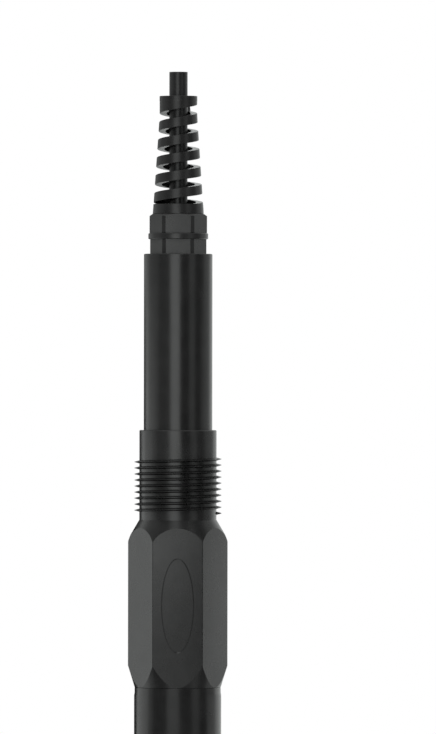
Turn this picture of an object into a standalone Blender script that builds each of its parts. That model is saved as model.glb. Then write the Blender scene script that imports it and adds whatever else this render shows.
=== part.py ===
"""Nitrate ion sensor with a G3/4 process thread, a hexagon for the spanner and a spiral cable gland.

The sensor stands upright on the flat rim of its protective guard. The origin is the centre of that rim and
+Z runs up the sensor's axis to the cable. A flat of the hexagon with the oval recess faces -Y.
"""

import math

import bmesh
import bpy
from mathutils import Matrix, Vector

# Gap between pieces that fit into, or rest on, each other
CLEARANCE = 0.0003

# Overlap of shapes that are joined, and how far a cutter runs past the faces that it cuts
JOIN_OVERLAP = 0.00005
CUTTER_REACH = 0.0020

# Small chamfer on moulded edges
MOULDED_EDGE = 0.00015

# Lengths of the main sections, from the tip upwards
SENSING_LENGTH = 0.075
LOWER_HOUSING_LENGTH = 0.087
HEXAGON_LENGTH = 0.0502
THREADED_SECTION_LENGTH = 0.027
REAR_TUBE_LENGTH = 0.053

# Main body: collar, process thread, neck and hexagon
COLLAR_DIAMETER = 0.0232
COLLAR_EDGE_CHAMFER = 0.0002
THREAD_MAJOR_DIAMETER = 0.0262
THREAD_PITCH = 0.001814
THREAD_TURNS = 9
THREAD_START = 0.0020
THREAD_CREST_WIDTH = 0.00012
THREAD_ROOT_WIDTH = 0.0008
HEXAGON_ACROSS_FLATS = 0.0260
HEXAGON_TOP_CHAMFER = 0.0043
HEXAGON_TOP_ROUNDING = 0.0025
HEXAGON_TOP_BULGE = 0.00007
HEXAGON_TOP_SHOULDER_RADIUS = 0.01415
HEXAGON_BOTTOM_CHAMFER = 0.0067
OVAL_WIDTH = 0.0099
OVAL_HEIGHT = 0.0284
OVAL_DEPTH = 0.0003
OVAL_CENTRE_BELOW_HEXAGON_TOP = 0.0255
SPIGOT_LENGTH = 0.0120
SPIGOT_WALL = 0.0042
BOARD_LEDGE_HEIGHT = 0.0025
BOARD_BORE_DIAMETER = 0.0162
SOCKET_DEPTH = 0.0100

# Front sleeve under the hexagon
SLEEVE_DIAMETER = 0.0262
SLEEVE_WALL = 0.0019
SLEEVE_EDGE_RELIEF = 0.00015
SLEEVE_RELIEF_LENGTH = 0.0017
SLEEVE_RELIEF_RAMP = 0.0008
SLEEVE_EDGE_CHAMFER = 0.0003

# O-rings and their grooves
O_RING_SECTION = 0.0015
O_RING_GROOVE_WIDTH = 0.0022
O_RING_GROOVE_MARGIN = 0.0042

# Protective guard round the electrodes
GUARD_WALL = 0.0019
GUARD_RIM_OPENING = 0.0180
GUARD_RIM_THICKNESS = 0.0030
GUARD_EDGE_CHAMFER = 0.0010
GUARD_WINDOWS = 4
GUARD_WINDOW_WIDTH = 0.0105
GUARD_WINDOW_BOTTOM = 0.0090
GUARD_WINDOW_TOP = 0.0470

# Electrode carrier, and the space over it for the electrodes' heads and the leads
CARRIER_DEPTH_IN_GUARD = 0.0160
LEAD_SPACE = 0.0108

# Nitrate and reference electrodes
ELECTRODE_DIAMETER = 0.0070
ELECTRODE_WALL = 0.0010
ELECTRODE_HEAD_STEP = 0.0006
ELECTRODE_HEAD_HEIGHT = 0.0020
ELECTRODE_TOP_LENGTH = 0.0020
ELECTRODE_TIP_HEIGHT = 0.0100
MEMBRANE_CAP_LENGTH = 0.0080
MEMBRANE_CAP_WALL = 0.0005
MEMBRANE_CAP_FLOOR = 0.0010
MEMBRANE_THICKNESS = 0.0005
MEMBRANE_WINDOW_DIAMETER = 0.0040
MEMBRANE_NECK_WALL = 0.0007
JUNCTION_DIAMETER = 0.0026
JUNCTION_LENGTH = 0.0050
REFERENCE_FLOOR = 0.0035
SILVER_WIRE_DIAMETER = 0.0010
SILVER_WIRE_DEPTH = 0.0600
SILVER_WIRE_STANDOUT = 0.0015
PLUG_LENGTH = 0.0060

# Temperature probe
SHEATH_DIAMETER = 0.0040
SHEATH_WALL = 0.0005
SHEATH_TIP_HEIGHT = 0.0140
SHEATH_HEAD_STEP = 0.0008
SHEATH_HEAD_HEIGHT = 0.0010
SHEATH_EDGE_DISTANCE = 0.0012
THERMISTOR_BEAD_LENGTH = 0.0050
THERMISTOR_STEM_DIAMETER = 0.0012
THERMISTOR_STANDOUT = 0.0015

# Circuit board and what it carries
BOARD_THICKNESS = 0.0016
BOARD_TOP_BELOW_TUBE_TOP = 0.0180
CONNECTOR_WIDTH = 0.0120
CONNECTOR_DEPTH = 0.0045
ELECTRODE_CONNECTOR_HEIGHT = 0.0080
ELECTRODE_CONNECTOR_LIFT = 0.0020
CABLE_CONNECTOR_HEIGHT = 0.0080
CABLE_CONNECTOR_DROP = 0.0010
CONNECTOR_EDGE_CHAMFER = 0.0004
CHIP_EDGE_CHAMFER = 0.0002
AMPLIFIER_CHIP_SIZE = (0.0050, 0.0012, 0.0040)
AMPLIFIER_CHIP_HEIGHT = 0.0180
PROCESSOR_CHIP_SIZE = (0.0070, 0.0012, 0.0070)
PROCESSOR_CHIP_HEIGHT = 0.0400
DRIVER_CHIP_SIZE = (0.0040, 0.0015, 0.0050)
DRIVER_CHIP_HEIGHT = 0.0700
LEAD_DIAMETER = 0.0012
LEAD_SPACING = 0.0030

# Rear tube
TUBE_DIAMETER = 0.0206
TUBE_WALL = 0.0020
TUBE_END_WALL = 0.0060
TUBE_EDGE_CHAMFER = 0.0002

# Cable gland
GLAND_THREAD_DIAMETER = 0.0120
GLAND_THREAD_PITCH = 0.0015
GLAND_THREAD_DEPTH = 0.00092
GLAND_THREAD_CREST_WIDTH = 0.00019
GLAND_THREAD_TURNS = 2
GLAND_STEM_LENGTH = 0.0070
GLAND_RELIEF_DEPTH = 0.0006
GLAND_WASHER_WIDTH = 0.0013
GLAND_WASHER_THICKNESS = 0.0009
GLAND_HEXAGON_ACROSS_FLATS = 0.0148
GLAND_HEXAGON_HEIGHT = 0.0044
GLAND_FLANGE_DIAMETER = 0.0180
GLAND_FLANGE_HEIGHT = 0.0018
GLAND_FLANGE_FILLET = 0.0005
GLAND_NECK_LENGTH = 0.0050
CLAMP_FINGER_LENGTH = 0.0031
CLAMP_FINGER_SLOTS = 6
CLAMP_FINGER_SLOT_WIDTH = 0.0007
CLAMP_FINGER_ROOT = 0.0006
CLAMP_FINGER_TIP_INSET = 0.0006
SEAL_WALL = 0.0007
SEAL_SEAT_STEP = 0.0006
NUT_ACROSS_FLATS = 0.0150
NUT_HEXAGON_HEIGHT = 0.0058
NUT_TOP_CHAMFER = 0.0007
NUT_TOP_CHAMFER_WIDTH = 0.0011
SLIP_RING_WALL = 0.0004
SLIP_RING_LENGTH = 0.0022

# Spiral strain relief on the nut
BOOT_LENGTH = 0.0357
BOOT_BASE_DIAMETER = 0.0153
BOOT_TOP_DIAMETER = 0.0113
BOOT_WALL = 0.0021
BOOT_BASE_RING_HEIGHT = 0.0030
BOOT_STRAIGHT_LENGTH = 0.0059
RING_STEP = 0.00003
SPIRAL_PITCH = 0.00535
SPIRAL_SLOT_HEIGHT = 0.0025
SPIRAL_END_BELOW_BOOT_TOP = 0.00335
SPIRAL_END_ANGLE = 50.0

# Cable
CABLE_DIAMETER = 0.0055
CABLE_JACKET_WALL = 0.0008
CABLE_STUB_LENGTH = 0.0070
CABLE_LENGTH_INSIDE = 0.0100
CORE_DIAMETER = 0.0011
CORE_SET_BACK = 0.0002

# Facets round the turned pieces, and the steps of the curved ones
HEXAGON_FACETS = 72
HOUSING_FACETS = 36
SMALL_FACETS = 24
FINE_FACETS = 16
O_RING_SECTION_FACETS = 6
DOME_STEPS = 4
WIRE_BEVEL_RESOLUTION = 2
ROUTE_STEPS = 2

# Heights of the joints between the sections
SLEEVE_BOTTOM = SENSING_LENGTH
HEXAGON_TOP = SENSING_LENGTH + LOWER_HOUSING_LENGTH
HEXAGON_BOTTOM = HEXAGON_TOP - HEXAGON_LENGTH
COLLAR_TOP = HEXAGON_TOP + THREADED_SECTION_LENGTH
TUBE_TOP = COLLAR_TOP + REAR_TUBE_LENGTH
GLAND_FLANGE_BOTTOM = TUBE_TOP + GLAND_HEXAGON_HEIGHT
GLAND_FLANGE_TOP = GLAND_FLANGE_BOTTOM + GLAND_FLANGE_HEIGHT
NUT_TOP = GLAND_FLANGE_TOP + NUT_HEXAGON_HEIGHT
BOOT_TOP = NUT_TOP + BOOT_LENGTH
CABLE_TOP = BOOT_TOP + CABLE_STUB_LENGTH
CABLE_BOTTOM = TUBE_TOP - CABLE_LENGTH_INSIDE
SPIGOT_BOTTOM = HEXAGON_BOTTOM - SPIGOT_LENGTH
BOARD_LEDGE = HEXAGON_BOTTOM + BOARD_LEDGE_HEIGHT
SOCKET_FLOOR = COLLAR_TOP - SOCKET_DEPTH
CARRIER_TOP = SPIGOT_BOTTOM - LEAD_SPACE
CARRIER_BOTTOM = SENSING_LENGTH - CARRIER_DEPTH_IN_GUARD
HEAD_BOTTOM = CARRIER_TOP + CLEARANCE
ELECTRODE_TOP = HEAD_BOTTOM + ELECTRODE_HEAD_HEIGHT + ELECTRODE_TOP_LENGTH
BOARD_BOTTOM = BOARD_LEDGE + CLEARANCE
BOARD_TOP = TUBE_TOP - BOARD_TOP_BELOW_TUBE_TOP

# Radii that several pieces share
SLEEVE_BORE_RADIUS = SLEEVE_DIAMETER / 2 - SLEEVE_WALL
GUARD_BORE_RADIUS = SLEEVE_DIAMETER / 2 - GUARD_WALL
SPIGOT_RADIUS = SLEEVE_BORE_RADIUS - CLEARANCE
CARRIER_RADIUS = min(SLEEVE_BORE_RADIUS, GUARD_BORE_RADIUS) - CLEARANCE
TUBE_BORE_RADIUS = TUBE_DIAMETER / 2 - TUBE_WALL
ELECTRODE_RADIUS = ELECTRODE_DIAMETER / 2
ELECTRODE_BORE_RADIUS = ELECTRODE_RADIUS - ELECTRODE_WALL
ELECTRODE_OFFSET = CARRIER_RADIUS / 2
SHEATH_HEAD_RADIUS = SHEATH_DIAMETER / 2 + SHEATH_HEAD_STEP
SHEATH_OFFSET = CARRIER_RADIUS - SHEATH_HEAD_RADIUS - SHEATH_EDGE_DISTANCE
CABLE_RADIUS = CABLE_DIAMETER / 2
SEAL_RADIUS = CABLE_RADIUS + CLEARANCE + SEAL_WALL
SEAL_BORE_RADIUS = SEAL_RADIUS + CLEARANCE
GLAND_THREAD_RADIUS = GLAND_THREAD_DIAMETER / 2
GLAND_ROOT_RADIUS = GLAND_THREAD_RADIUS - GLAND_THREAD_DEPTH
NUT_BORE_RADIUS = GLAND_THREAD_RADIUS + CLEARANCE
BOARD_REACH = min(TUBE_BORE_RADIUS, BOARD_BORE_DIAMETER / 2) - CLEARANCE
BOARD_WIDTH = 2 * math.sqrt(BOARD_REACH**2 - (BOARD_THICKNESS / 2) ** 2)


def new_material(name, colour, roughness, metallic=0.0):
    """A Principled BSDF with one plain colour."""
    material = bpy.data.materials.new(name)
    material.use_nodes = True
    shader = material.node_tree.nodes["Principled BSDF"]
    shader.inputs["Base Color"].default_value = (*colour, 1.0)
    shader.inputs["Roughness"].default_value = roughness
    shader.inputs["Metallic"].default_value = metallic
    material.diffuse_color = (*colour, 1.0)
    return material


def clear_scene():
    """Remove every object that the scene holds."""
    for obj in list(bpy.data.objects):
        bpy.data.objects.remove(obj)


def add_object(name, data, material, height=0.0):
    """Put a new part in the sensor's collection, at a height on the sensor's axis."""
    obj = bpy.data.objects.new(name, data)
    obj.location.z = height
    obj.parent = SENSOR_AXIS
    if material:
        data.materials.append(material)
    PARTS.objects.link(obj)
    return obj


def as_cutter(obj):
    """Move an object out of the parts, to shape another one."""
    PARTS.objects.unlink(obj)
    CUTTERS.objects.link(obj)
    obj.hide_render = True
    obj.display_type = "WIRE"
    return obj


def combine(obj, other, operation, solver="EXACT"):
    """Cut, join or intersect obj with another object."""
    boolean = obj.modifiers.new(other.name, "BOOLEAN")
    boolean.solver = solver
    boolean.operation = operation
    boolean.object = other


def turned(name, outline, material, height=0.0, facets=HOUSING_FACETS):
    """Turn an outline of (radius, height) points, listed down the outer side and up the inner one."""
    mesh = bpy.data.meshes.new(name)
    count = len(outline)
    edges = [(i, i + 1) for i in range(count - 1)]
    if outline[0][0] > 0 and outline[-1][0] > 0:
        edges.append((count - 1, 0))
    mesh.from_pydata([(radius, 0.0, level) for radius, level in outline], edges, [])
    obj = add_object(name, mesh, material, height)
    screw = obj.modifiers.new("Turn", "SCREW")
    screw.steps = facets
    screw.render_steps = facets
    screw.use_merge_vertices = True
    screw.merge_threshold = 0.000001
    return obj


def tube_outline(outer, inner, length):
    """Outline of a plain tube from height 0 to its length."""
    return [(outer, length), (outer, 0.0), (inner, 0.0), (inner, length)]


def hexagonal_prism(name, across_flats, bottom, top):
    """A hexagonal cutter with a flat facing -Y and corners on the X axis."""
    bm = bmesh.new()
    corner = across_flats / math.sqrt(3)
    place = Matrix.Translation((0, 0, (bottom + top) / 2)) @ Matrix.Rotation(math.radians(30), 4, "Z")
    bmesh.ops.create_cone(
        bm, cap_ends=True, segments=6, radius1=corner, radius2=corner, depth=top - bottom, matrix=place
    )
    return as_cutter(add_object(name, mesh_from(bm, name), None))


def mesh_from(bm, name):
    """Write a bmesh to a new mesh."""
    mesh = bpy.data.meshes.new(name)
    bm.to_mesh(mesh)
    bm.free()
    return mesh


def helix(name, section, pitch, turns, facets, start_angle=0.0):
    """Sweep a section of (radius, height) points up a right-handed helix with flat ends."""
    bm = bmesh.new()
    corners = [bm.verts.new((radius, 0.0, level)) for radius, level in section]
    face = bm.faces.new(corners)
    steps = round(turns * facets)
    bmesh.ops.rotate(bm, verts=corners, matrix=Matrix.Rotation(start_angle, 3, "Z"))
    bmesh.ops.spin(
        bm,
        geom=[face, *face.edges, *face.verts],
        axis=(0, 0, 1),
        cent=(0, 0, 0),
        dvec=(0, 0, pitch / facets),
        angle=2 * math.pi * steps / facets,
        steps=steps,
    )
    bmesh.ops.recalc_face_normals(bm, faces=bm.faces)
    return as_cutter(add_object(name, mesh_from(bm, name), None))


def upright_hole(name, radius, x, y, bottom, top, facets=FINE_FACETS):
    """A round cutter that stands at (x, y)."""
    bm = bmesh.new()
    place = Matrix.Translation((x, y, (bottom + top) / 2))
    bmesh.ops.create_cone(
        bm, cap_ends=True, segments=facets, radius1=radius, radius2=radius, depth=top - bottom, matrix=place
    )
    return as_cutter(add_object(name, mesh_from(bm, name), None))


def block(name, size, centre, material, chamfer):
    """A box with chamfered edges."""
    bm = bmesh.new()
    bmesh.ops.create_cube(bm, size=1.0)
    bmesh.ops.scale(bm, vec=Vector(size), verts=bm.verts)
    obj = add_object(name, mesh_from(bm, name), material)
    obj.location = centre
    bevel = obj.modifiers.new("Edges", "BEVEL")
    bevel.width = chamfer
    bevel.segments = 1
    return obj


def smooth_route(points):
    """Points along a Catmull-Rom curve through the chosen points."""
    ends = [points[0] * 2 - points[1], *points, points[-1] * 2 - points[-2]]
    route = []
    for before, start, end, after in zip(ends, ends[1:], ends[2:], ends[3:]):
        for step in range(ROUTE_STEPS):
            t = step / ROUTE_STEPS
            route.append(
                0.5
                * (
                    2 * start
                    + (end - before) * t
                    + (2 * before - 5 * start + 4 * end - after) * t**2
                    + (3 * start - before - 3 * end + after) * t**3
                )
            )
    return [*route, points[-1]]


def wire(name, route, diameter, material):
    """A round wire with filled ends along a route."""
    curve = bpy.data.curves.new(name, "CURVE")
    curve.dimensions = "3D"
    curve.bevel_depth = diameter / 2
    curve.bevel_resolution = WIRE_BEVEL_RESOLUTION
    curve.use_fill_caps = True
    spline = curve.splines.new("POLY")
    spline.points.add(len(route) - 1)
    for point, place in zip(spline.points, route):
        point.co = (*place, 1.0)
    return add_object(name, curve, material)


def make_main_body(material):
    """Collar, process thread, neck, hexagon and the spigot that the front sleeve fits over."""
    body = turned("main_body", stem_outline(), material)
    bore = as_cutter(turned("housing_bore", housing_bore_outline(), None))
    combine(body, process_thread(), "UNION", "MANIFOLD")
    combine(body, hexagon_block(), "UNION", "MANIFOLD")
    combine(body, bore, "DIFFERENCE", "MANIFOLD")
    combine(body, oval_recess(), "DIFFERENCE", "MANIFOLD")
    return body


def hexagon_block():
    """The hexagon, domed to its neck at the top and coned to the sleeve's diameter at the bottom."""
    corner = HEXAGON_ACROSS_FLATS / math.sqrt(3) + JOIN_OVERLAP
    neck = COLLAR_DIAMETER / 2 + JOIN_OVERLAP
    shoulder = HEXAGON_LENGTH - HEXAGON_TOP_CHAMFER
    outline = [(0.0, HEXAGON_LENGTH), (neck, HEXAGON_LENGTH), (HEXAGON_TOP_SHOULDER_RADIUS, shoulder)]
    reach = corner - HEXAGON_TOP_SHOULDER_RADIUS
    for step in range(1, DOME_STEPS):
        share = step / (DOME_STEPS - 1)
        bulge = 4 * HEXAGON_TOP_BULGE * share * (1 - share)
        radius = HEXAGON_TOP_SHOULDER_RADIUS + reach * share + bulge
        outline.append((radius, shoulder - HEXAGON_TOP_ROUNDING * share))
    outline += [(corner, HEXAGON_BOTTOM_CHAMFER), (lower_shoulder_radius(), 0.0), (0.0, 0.0)]
    hexagon = as_cutter(turned("hexagon", outline, None, HEXAGON_BOTTOM, HEXAGON_FACETS))
    prism = hexagonal_prism(
        "hexagon_flats", HEXAGON_ACROSS_FLATS, HEXAGON_BOTTOM - CUTTER_REACH, HEXAGON_TOP + CUTTER_REACH
    )
    combine(hexagon, prism, "INTERSECT")
    return hexagon


def lower_shoulder_radius():
    """Radius of the hexagon's lower end, just inside its flats and the sleeve."""
    return min(HEXAGON_ACROSS_FLATS, SLEEVE_DIAMETER) / 2 - JOIN_OVERLAP


def stem_outline():
    """The round core of the main body, from the collar down through the hexagon to the spigot."""
    collar = COLLAR_DIAMETER / 2
    middle = (HEXAGON_TOP + HEXAGON_BOTTOM) / 2
    groove_top = SPIGOT_BOTTOM + O_RING_GROOVE_MARGIN + O_RING_GROOVE_WIDTH
    return [
        (0.0, COLLAR_TOP),
        (collar - COLLAR_EDGE_CHAMFER, COLLAR_TOP),
        (collar, COLLAR_TOP - COLLAR_EDGE_CHAMFER),
        (collar, middle),
        (SPIGOT_RADIUS, middle),
        *groove_outline(SPIGOT_RADIUS, groove_top),
        (SPIGOT_RADIUS, SPIGOT_BOTTOM),
        (0.0, SPIGOT_BOTTOM),
    ]


def groove_floor(radius):
    """Radius of the floor of an O-ring groove in a piece of the given radius."""
    return radius - O_RING_SECTION - CLEARANCE


def groove_outline(radius, top):
    """The four points of an O-ring groove, from its upper edge down."""
    bottom = top - O_RING_GROOVE_WIDTH
    return [(radius, top), (groove_floor(radius), top), (groove_floor(radius), bottom), (radius, bottom)]


def process_thread():
    """The ridge of the right-handed G3/4 thread, its root sunk into the stem."""
    crest = THREAD_MAJOR_DIAMETER / 2
    section = ridge_section(
        COLLAR_DIAMETER / 2, crest, THREAD_PITCH - THREAD_ROOT_WIDTH, THREAD_CREST_WIDTH
    )
    ridge = helix("process_thread", section, THREAD_PITCH, THREAD_TURNS, HOUSING_FACETS)
    ridge.location.z = HEXAGON_TOP + THREAD_START
    return ridge


def ridge_section(root, crest, root_width, crest_width):
    """Section of a thread's ridge, whose flanks run on a little below the root, into the core."""
    sunk = root - 2 * JOIN_OVERLAP
    spread = (root_width - crest_width) / (crest - root)
    half_base = (root_width + spread * (root - sunk)) / 2
    half_crest = crest_width / 2
    return [(sunk, -half_base), (crest, -half_crest), (crest, half_crest), (sunk, half_base)]


def housing_bore_outline():
    """The bore that is cut through the main body: tube socket, board bore and the throat for the leads."""
    socket = TUBE_DIAMETER / 2 + CLEARANCE
    board = BOARD_BORE_DIAMETER / 2
    throat = SPIGOT_RADIUS - SPIGOT_WALL
    return [
        (0.0, COLLAR_TOP + CUTTER_REACH),
        (socket, COLLAR_TOP + CUTTER_REACH),
        (socket, SOCKET_FLOOR),
        (board, SOCKET_FLOOR),
        (board, BOARD_LEDGE),
        (throat, BOARD_LEDGE),
        (throat, SPIGOT_BOTTOM - CUTTER_REACH),
        (0.0, SPIGOT_BOTTOM - CUTTER_REACH),
    ]


def oval_recess():
    """The shallow oval recess in the flat that faces -Y."""
    bm = bmesh.new()
    bmesh.ops.create_cone(bm, cap_ends=True, segments=HOUSING_FACETS, radius1=0.5, radius2=0.5, depth=1.0)
    bmesh.ops.rotate(bm, verts=bm.verts, matrix=Matrix.Rotation(math.radians(90), 3, "X"))
    bmesh.ops.scale(bm, vec=Vector((OVAL_WIDTH, 2 * OVAL_DEPTH, OVAL_HEIGHT)), verts=bm.verts)
    recess = add_object("oval_recess", mesh_from(bm, "oval_recess"), None)
    recess.location = (0, -HEXAGON_ACROSS_FLATS / 2, HEXAGON_TOP - OVAL_CENTRE_BELOW_HEXAGON_TOP)
    return as_cutter(recess)


def make_front_sleeve(material):
    """The plain cylinder under the hexagon, with a fine relief at its upper edge."""
    radius = SLEEVE_DIAMETER / 2
    length = HEXAGON_BOTTOM - CLEARANCE - SLEEVE_BOTTOM
    relief = radius - SLEEVE_EDGE_RELIEF
    outline = [
        (relief, length),
        (relief, length - SLEEVE_RELIEF_LENGTH),
        (radius, length - SLEEVE_RELIEF_LENGTH - SLEEVE_RELIEF_RAMP),
        (radius, SLEEVE_EDGE_CHAMFER),
        (radius - SLEEVE_EDGE_CHAMFER, 0.0),
        (SLEEVE_BORE_RADIUS, 0.0),
        (SLEEVE_BORE_RADIUS, length),
    ]
    return turned("front_sleeve", outline, material, SLEEVE_BOTTOM)


def make_o_ring(name, piece_radius, groove_top, material):
    """A round sealing ring that lies in the groove of a piece of the given radius."""
    section = O_RING_SECTION / 2
    centre = groove_floor(piece_radius) + CLEARANCE + section
    outline = []
    for step in range(O_RING_SECTION_FACETS):
        turn = -2 * math.pi * (step + 0.5) / O_RING_SECTION_FACETS
        outline.append((centre + section * math.cos(turn), section * math.sin(turn)))
    return turned(name, outline, material, groove_top - O_RING_GROOVE_WIDTH / 2, SMALL_FACETS)


def make_guard(material):
    """The guard: a tube with an open lower rim and rounded windows all round."""
    radius = SLEEVE_DIAMETER / 2
    length = SENSING_LENGTH - CLEARANCE
    rim = GUARD_RIM_OPENING / 2
    outline = [
        (radius - SLEEVE_EDGE_CHAMFER, length),
        (radius, length - SLEEVE_EDGE_CHAMFER),
        (radius, GUARD_EDGE_CHAMFER),
        (radius - GUARD_EDGE_CHAMFER, 0.0),
        (rim, 0.0),
        (rim, GUARD_RIM_THICKNESS),
        (GUARD_BORE_RADIUS, GUARD_RIM_THICKNESS + GUARD_BORE_RADIUS - rim),
        (GUARD_BORE_RADIUS, length),
    ]
    guard = turned("protective_guard", outline, material)
    for index in range(GUARD_WINDOWS):
        combine(guard, guard_window(index), "DIFFERENCE")
    return guard


def guard_window(index):
    """One upright window with half-round ends, which reaches in from outside to the guard's middle."""
    bm = bmesh.new()
    half = GUARD_WINDOW_WIDTH / 2
    half_facets = SMALL_FACETS // 4
    ends = ((GUARD_WINDOW_BOTTOM + half, math.pi), (GUARD_WINDOW_TOP - half, 0.0))
    corners = []
    for level, start in ends:
        for step in range(half_facets + 1):
            turn = start + math.pi * step / half_facets
            corners.append(bm.verts.new((0.0, half * math.cos(turn), level + half * math.sin(turn))))
    outline = bm.faces.new(corners)
    sides = bmesh.ops.extrude_face_region(bm, geom=[outline])
    moved = [item for item in sides["geom"] if isinstance(item, bmesh.types.BMVert)]
    bmesh.ops.translate(bm, verts=moved, vec=(SLEEVE_DIAMETER, 0.0, 0.0))
    bmesh.ops.recalc_face_normals(bm, faces=bm.faces)
    name = f"guard_window_{index + 1}"
    window = as_cutter(add_object(name, mesh_from(bm, name), None))
    window.rotation_euler.z = 2 * math.pi * index / GUARD_WINDOWS
    return window


def make_carrier(material):
    """The plug that closes the housing and holds the electrodes and the temperature probe."""
    groove_top = CARRIER_TOP - O_RING_GROOVE_MARGIN
    outline = [
        (0.0, CARRIER_TOP),
        (CARRIER_RADIUS, CARRIER_TOP),
        *groove_outline(CARRIER_RADIUS, groove_top),
        (CARRIER_RADIUS, CARRIER_BOTTOM),
        (0.0, CARRIER_BOTTOM),
    ]
    carrier = turned("electrode_carrier", outline, material)
    electrode = ELECTRODE_RADIUS + CLEARANCE
    sheath = SHEATH_DIAMETER / 2 + CLEARANCE
    holes = (
        ("nitrate_hole", electrode, -ELECTRODE_OFFSET, 0.0),
        ("reference_hole", electrode, ELECTRODE_OFFSET, 0.0),
        ("sheath_hole", sheath, 0.0, SHEATH_OFFSET),
    )
    for name, radius, x, y in holes:
        hole = upright_hole(name, radius, x, y, CARRIER_BOTTOM - CUTTER_REACH, CARRIER_TOP + CUTTER_REACH)
        combine(carrier, hole, "DIFFERENCE")
    return carrier


def electrode_head_outline():
    """The upper end of an electrode body, with the head that rests on the carrier."""
    head = ELECTRODE_RADIUS + ELECTRODE_HEAD_STEP
    return [
        (ELECTRODE_RADIUS, ELECTRODE_TOP),
        (ELECTRODE_RADIUS, HEAD_BOTTOM + ELECTRODE_HEAD_HEIGHT),
        (head, HEAD_BOTTOM + ELECTRODE_HEAD_HEIGHT),
        (head, HEAD_BOTTOM),
        (ELECTRODE_RADIUS, HEAD_BOTTOM),
    ]


def membrane_level():
    """Height of the membrane's lower face, on the floor of its cap."""
    return ELECTRODE_TIP_HEIGHT + MEMBRANE_CAP_FLOOR + CLEARANCE


def make_nitrate_electrode(body_material, membrane_material, silver_material):
    """Tube, screw cap, membrane, silver wire and the plug that holds the wire."""
    cap_bore = ELECTRODE_RADIUS - MEMBRANE_CAP_WALL
    neck = cap_bore - CLEARANCE
    neck_bore = neck - MEMBRANE_NECK_WALL
    neck_bottom = membrane_level() + MEMBRANE_THICKNESS + CLEARANCE
    neck_top = ELECTRODE_TIP_HEIGHT + MEMBRANE_CAP_LENGTH + CLEARANCE
    shoulder = neck_top + ELECTRODE_WALL
    body_outline = [
        *electrode_head_outline(),
        (ELECTRODE_RADIUS, neck_top),
        (neck, neck_top),
        (neck, neck_bottom),
        (neck_bore, neck_bottom),
        (neck_bore, shoulder),
        (ELECTRODE_BORE_RADIUS, shoulder + ELECTRODE_WALL),
        (ELECTRODE_BORE_RADIUS, ELECTRODE_TOP),
    ]
    window = MEMBRANE_WINDOW_DIAMETER / 2
    cap_outline = [
        (ELECTRODE_RADIUS, MEMBRANE_CAP_LENGTH),
        (ELECTRODE_RADIUS, MEMBRANE_CAP_FLOOR / 2),
        (ELECTRODE_RADIUS - MEMBRANE_CAP_FLOOR / 2, 0.0),
        (window, 0.0),
        (window, MEMBRANE_CAP_FLOOR),
        (cap_bore, MEMBRANE_CAP_FLOOR),
        (cap_bore, MEMBRANE_CAP_LENGTH),
    ]
    membrane_outline = [
        (0.0, MEMBRANE_THICKNESS),
        (neck, MEMBRANE_THICKNESS),
        (neck, 0.0),
        (0.0, 0.0),
    ]
    pieces = [
        turned("nitrate_electrode_body", body_outline, body_material, 0.0, FINE_FACETS),
        turned("nitrate_membrane_cap", cap_outline, body_material, ELECTRODE_TIP_HEIGHT, FINE_FACETS),
        turned("nitrate_membrane", membrane_outline, membrane_material, membrane_level(), FINE_FACETS),
        *make_silver_wire("nitrate", body_material, silver_material),
    ]
    for piece in pieces:
        piece.location.x = -ELECTRODE_OFFSET


def make_reference_electrode(body_material, junction_material, silver_material):
    """Tube with a closed tip, porous junction, silver wire and the plug that holds the wire."""
    junction = JUNCTION_DIAMETER / 2
    hole = junction + CLEARANCE
    floor_top = ELECTRODE_TIP_HEIGHT + REFERENCE_FLOOR
    chamfer = ELECTRODE_WALL / 2
    body_outline = [
        *electrode_head_outline(),
        (ELECTRODE_RADIUS, ELECTRODE_TIP_HEIGHT + chamfer),
        (ELECTRODE_RADIUS - chamfer, ELECTRODE_TIP_HEIGHT),
        (hole, ELECTRODE_TIP_HEIGHT),
        (hole, floor_top),
        (ELECTRODE_BORE_RADIUS, floor_top),
        (ELECTRODE_BORE_RADIUS, ELECTRODE_TOP),
    ]
    junction_outline = [
        (0.0, JUNCTION_LENGTH),
        (junction, JUNCTION_LENGTH),
        (junction, 0.0),
        (0.0, 0.0),
    ]
    pieces = [
        turned("reference_electrode_body", body_outline, body_material, 0.0, FINE_FACETS),
        turned("reference_junction", junction_outline, junction_material, ELECTRODE_TIP_HEIGHT, FINE_FACETS),
        *make_silver_wire("reference", body_material, silver_material),
    ]
    for piece in pieces:
        piece.location.x = ELECTRODE_OFFSET


def make_silver_wire(electrode, plug_material, silver_material):
    """The silver wire of one electrode and the plug in the electrode's upper end."""
    wire_radius = SILVER_WIRE_DIAMETER / 2
    plug_radius = ELECTRODE_BORE_RADIUS - CLEARANCE
    length = SILVER_WIRE_DEPTH + SILVER_WIRE_STANDOUT
    wire_outline = [(0.0, length), (wire_radius, length), (wire_radius, 0.0), (0.0, 0.0)]
    plug_outline = tube_outline(plug_radius, wire_radius + CLEARANCE, PLUG_LENGTH)
    wire_bottom = ELECTRODE_TOP - SILVER_WIRE_DEPTH
    plug_bottom = ELECTRODE_TOP - PLUG_LENGTH
    return (
        turned(f"{electrode}_silver_wire", wire_outline, silver_material, wire_bottom, FINE_FACETS // 2),
        turned(f"{electrode}_plug", plug_outline, plug_material, plug_bottom, FINE_FACETS),
    )


def dome(radius, level):
    """Points down a half-round end, from its rim to just before the axis."""
    points = []
    for step in range(DOME_STEPS):
        turn = math.radians(90 * step / DOME_STEPS)
        points.append((radius * math.cos(turn), level - radius * math.sin(turn)))
    return points


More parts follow.
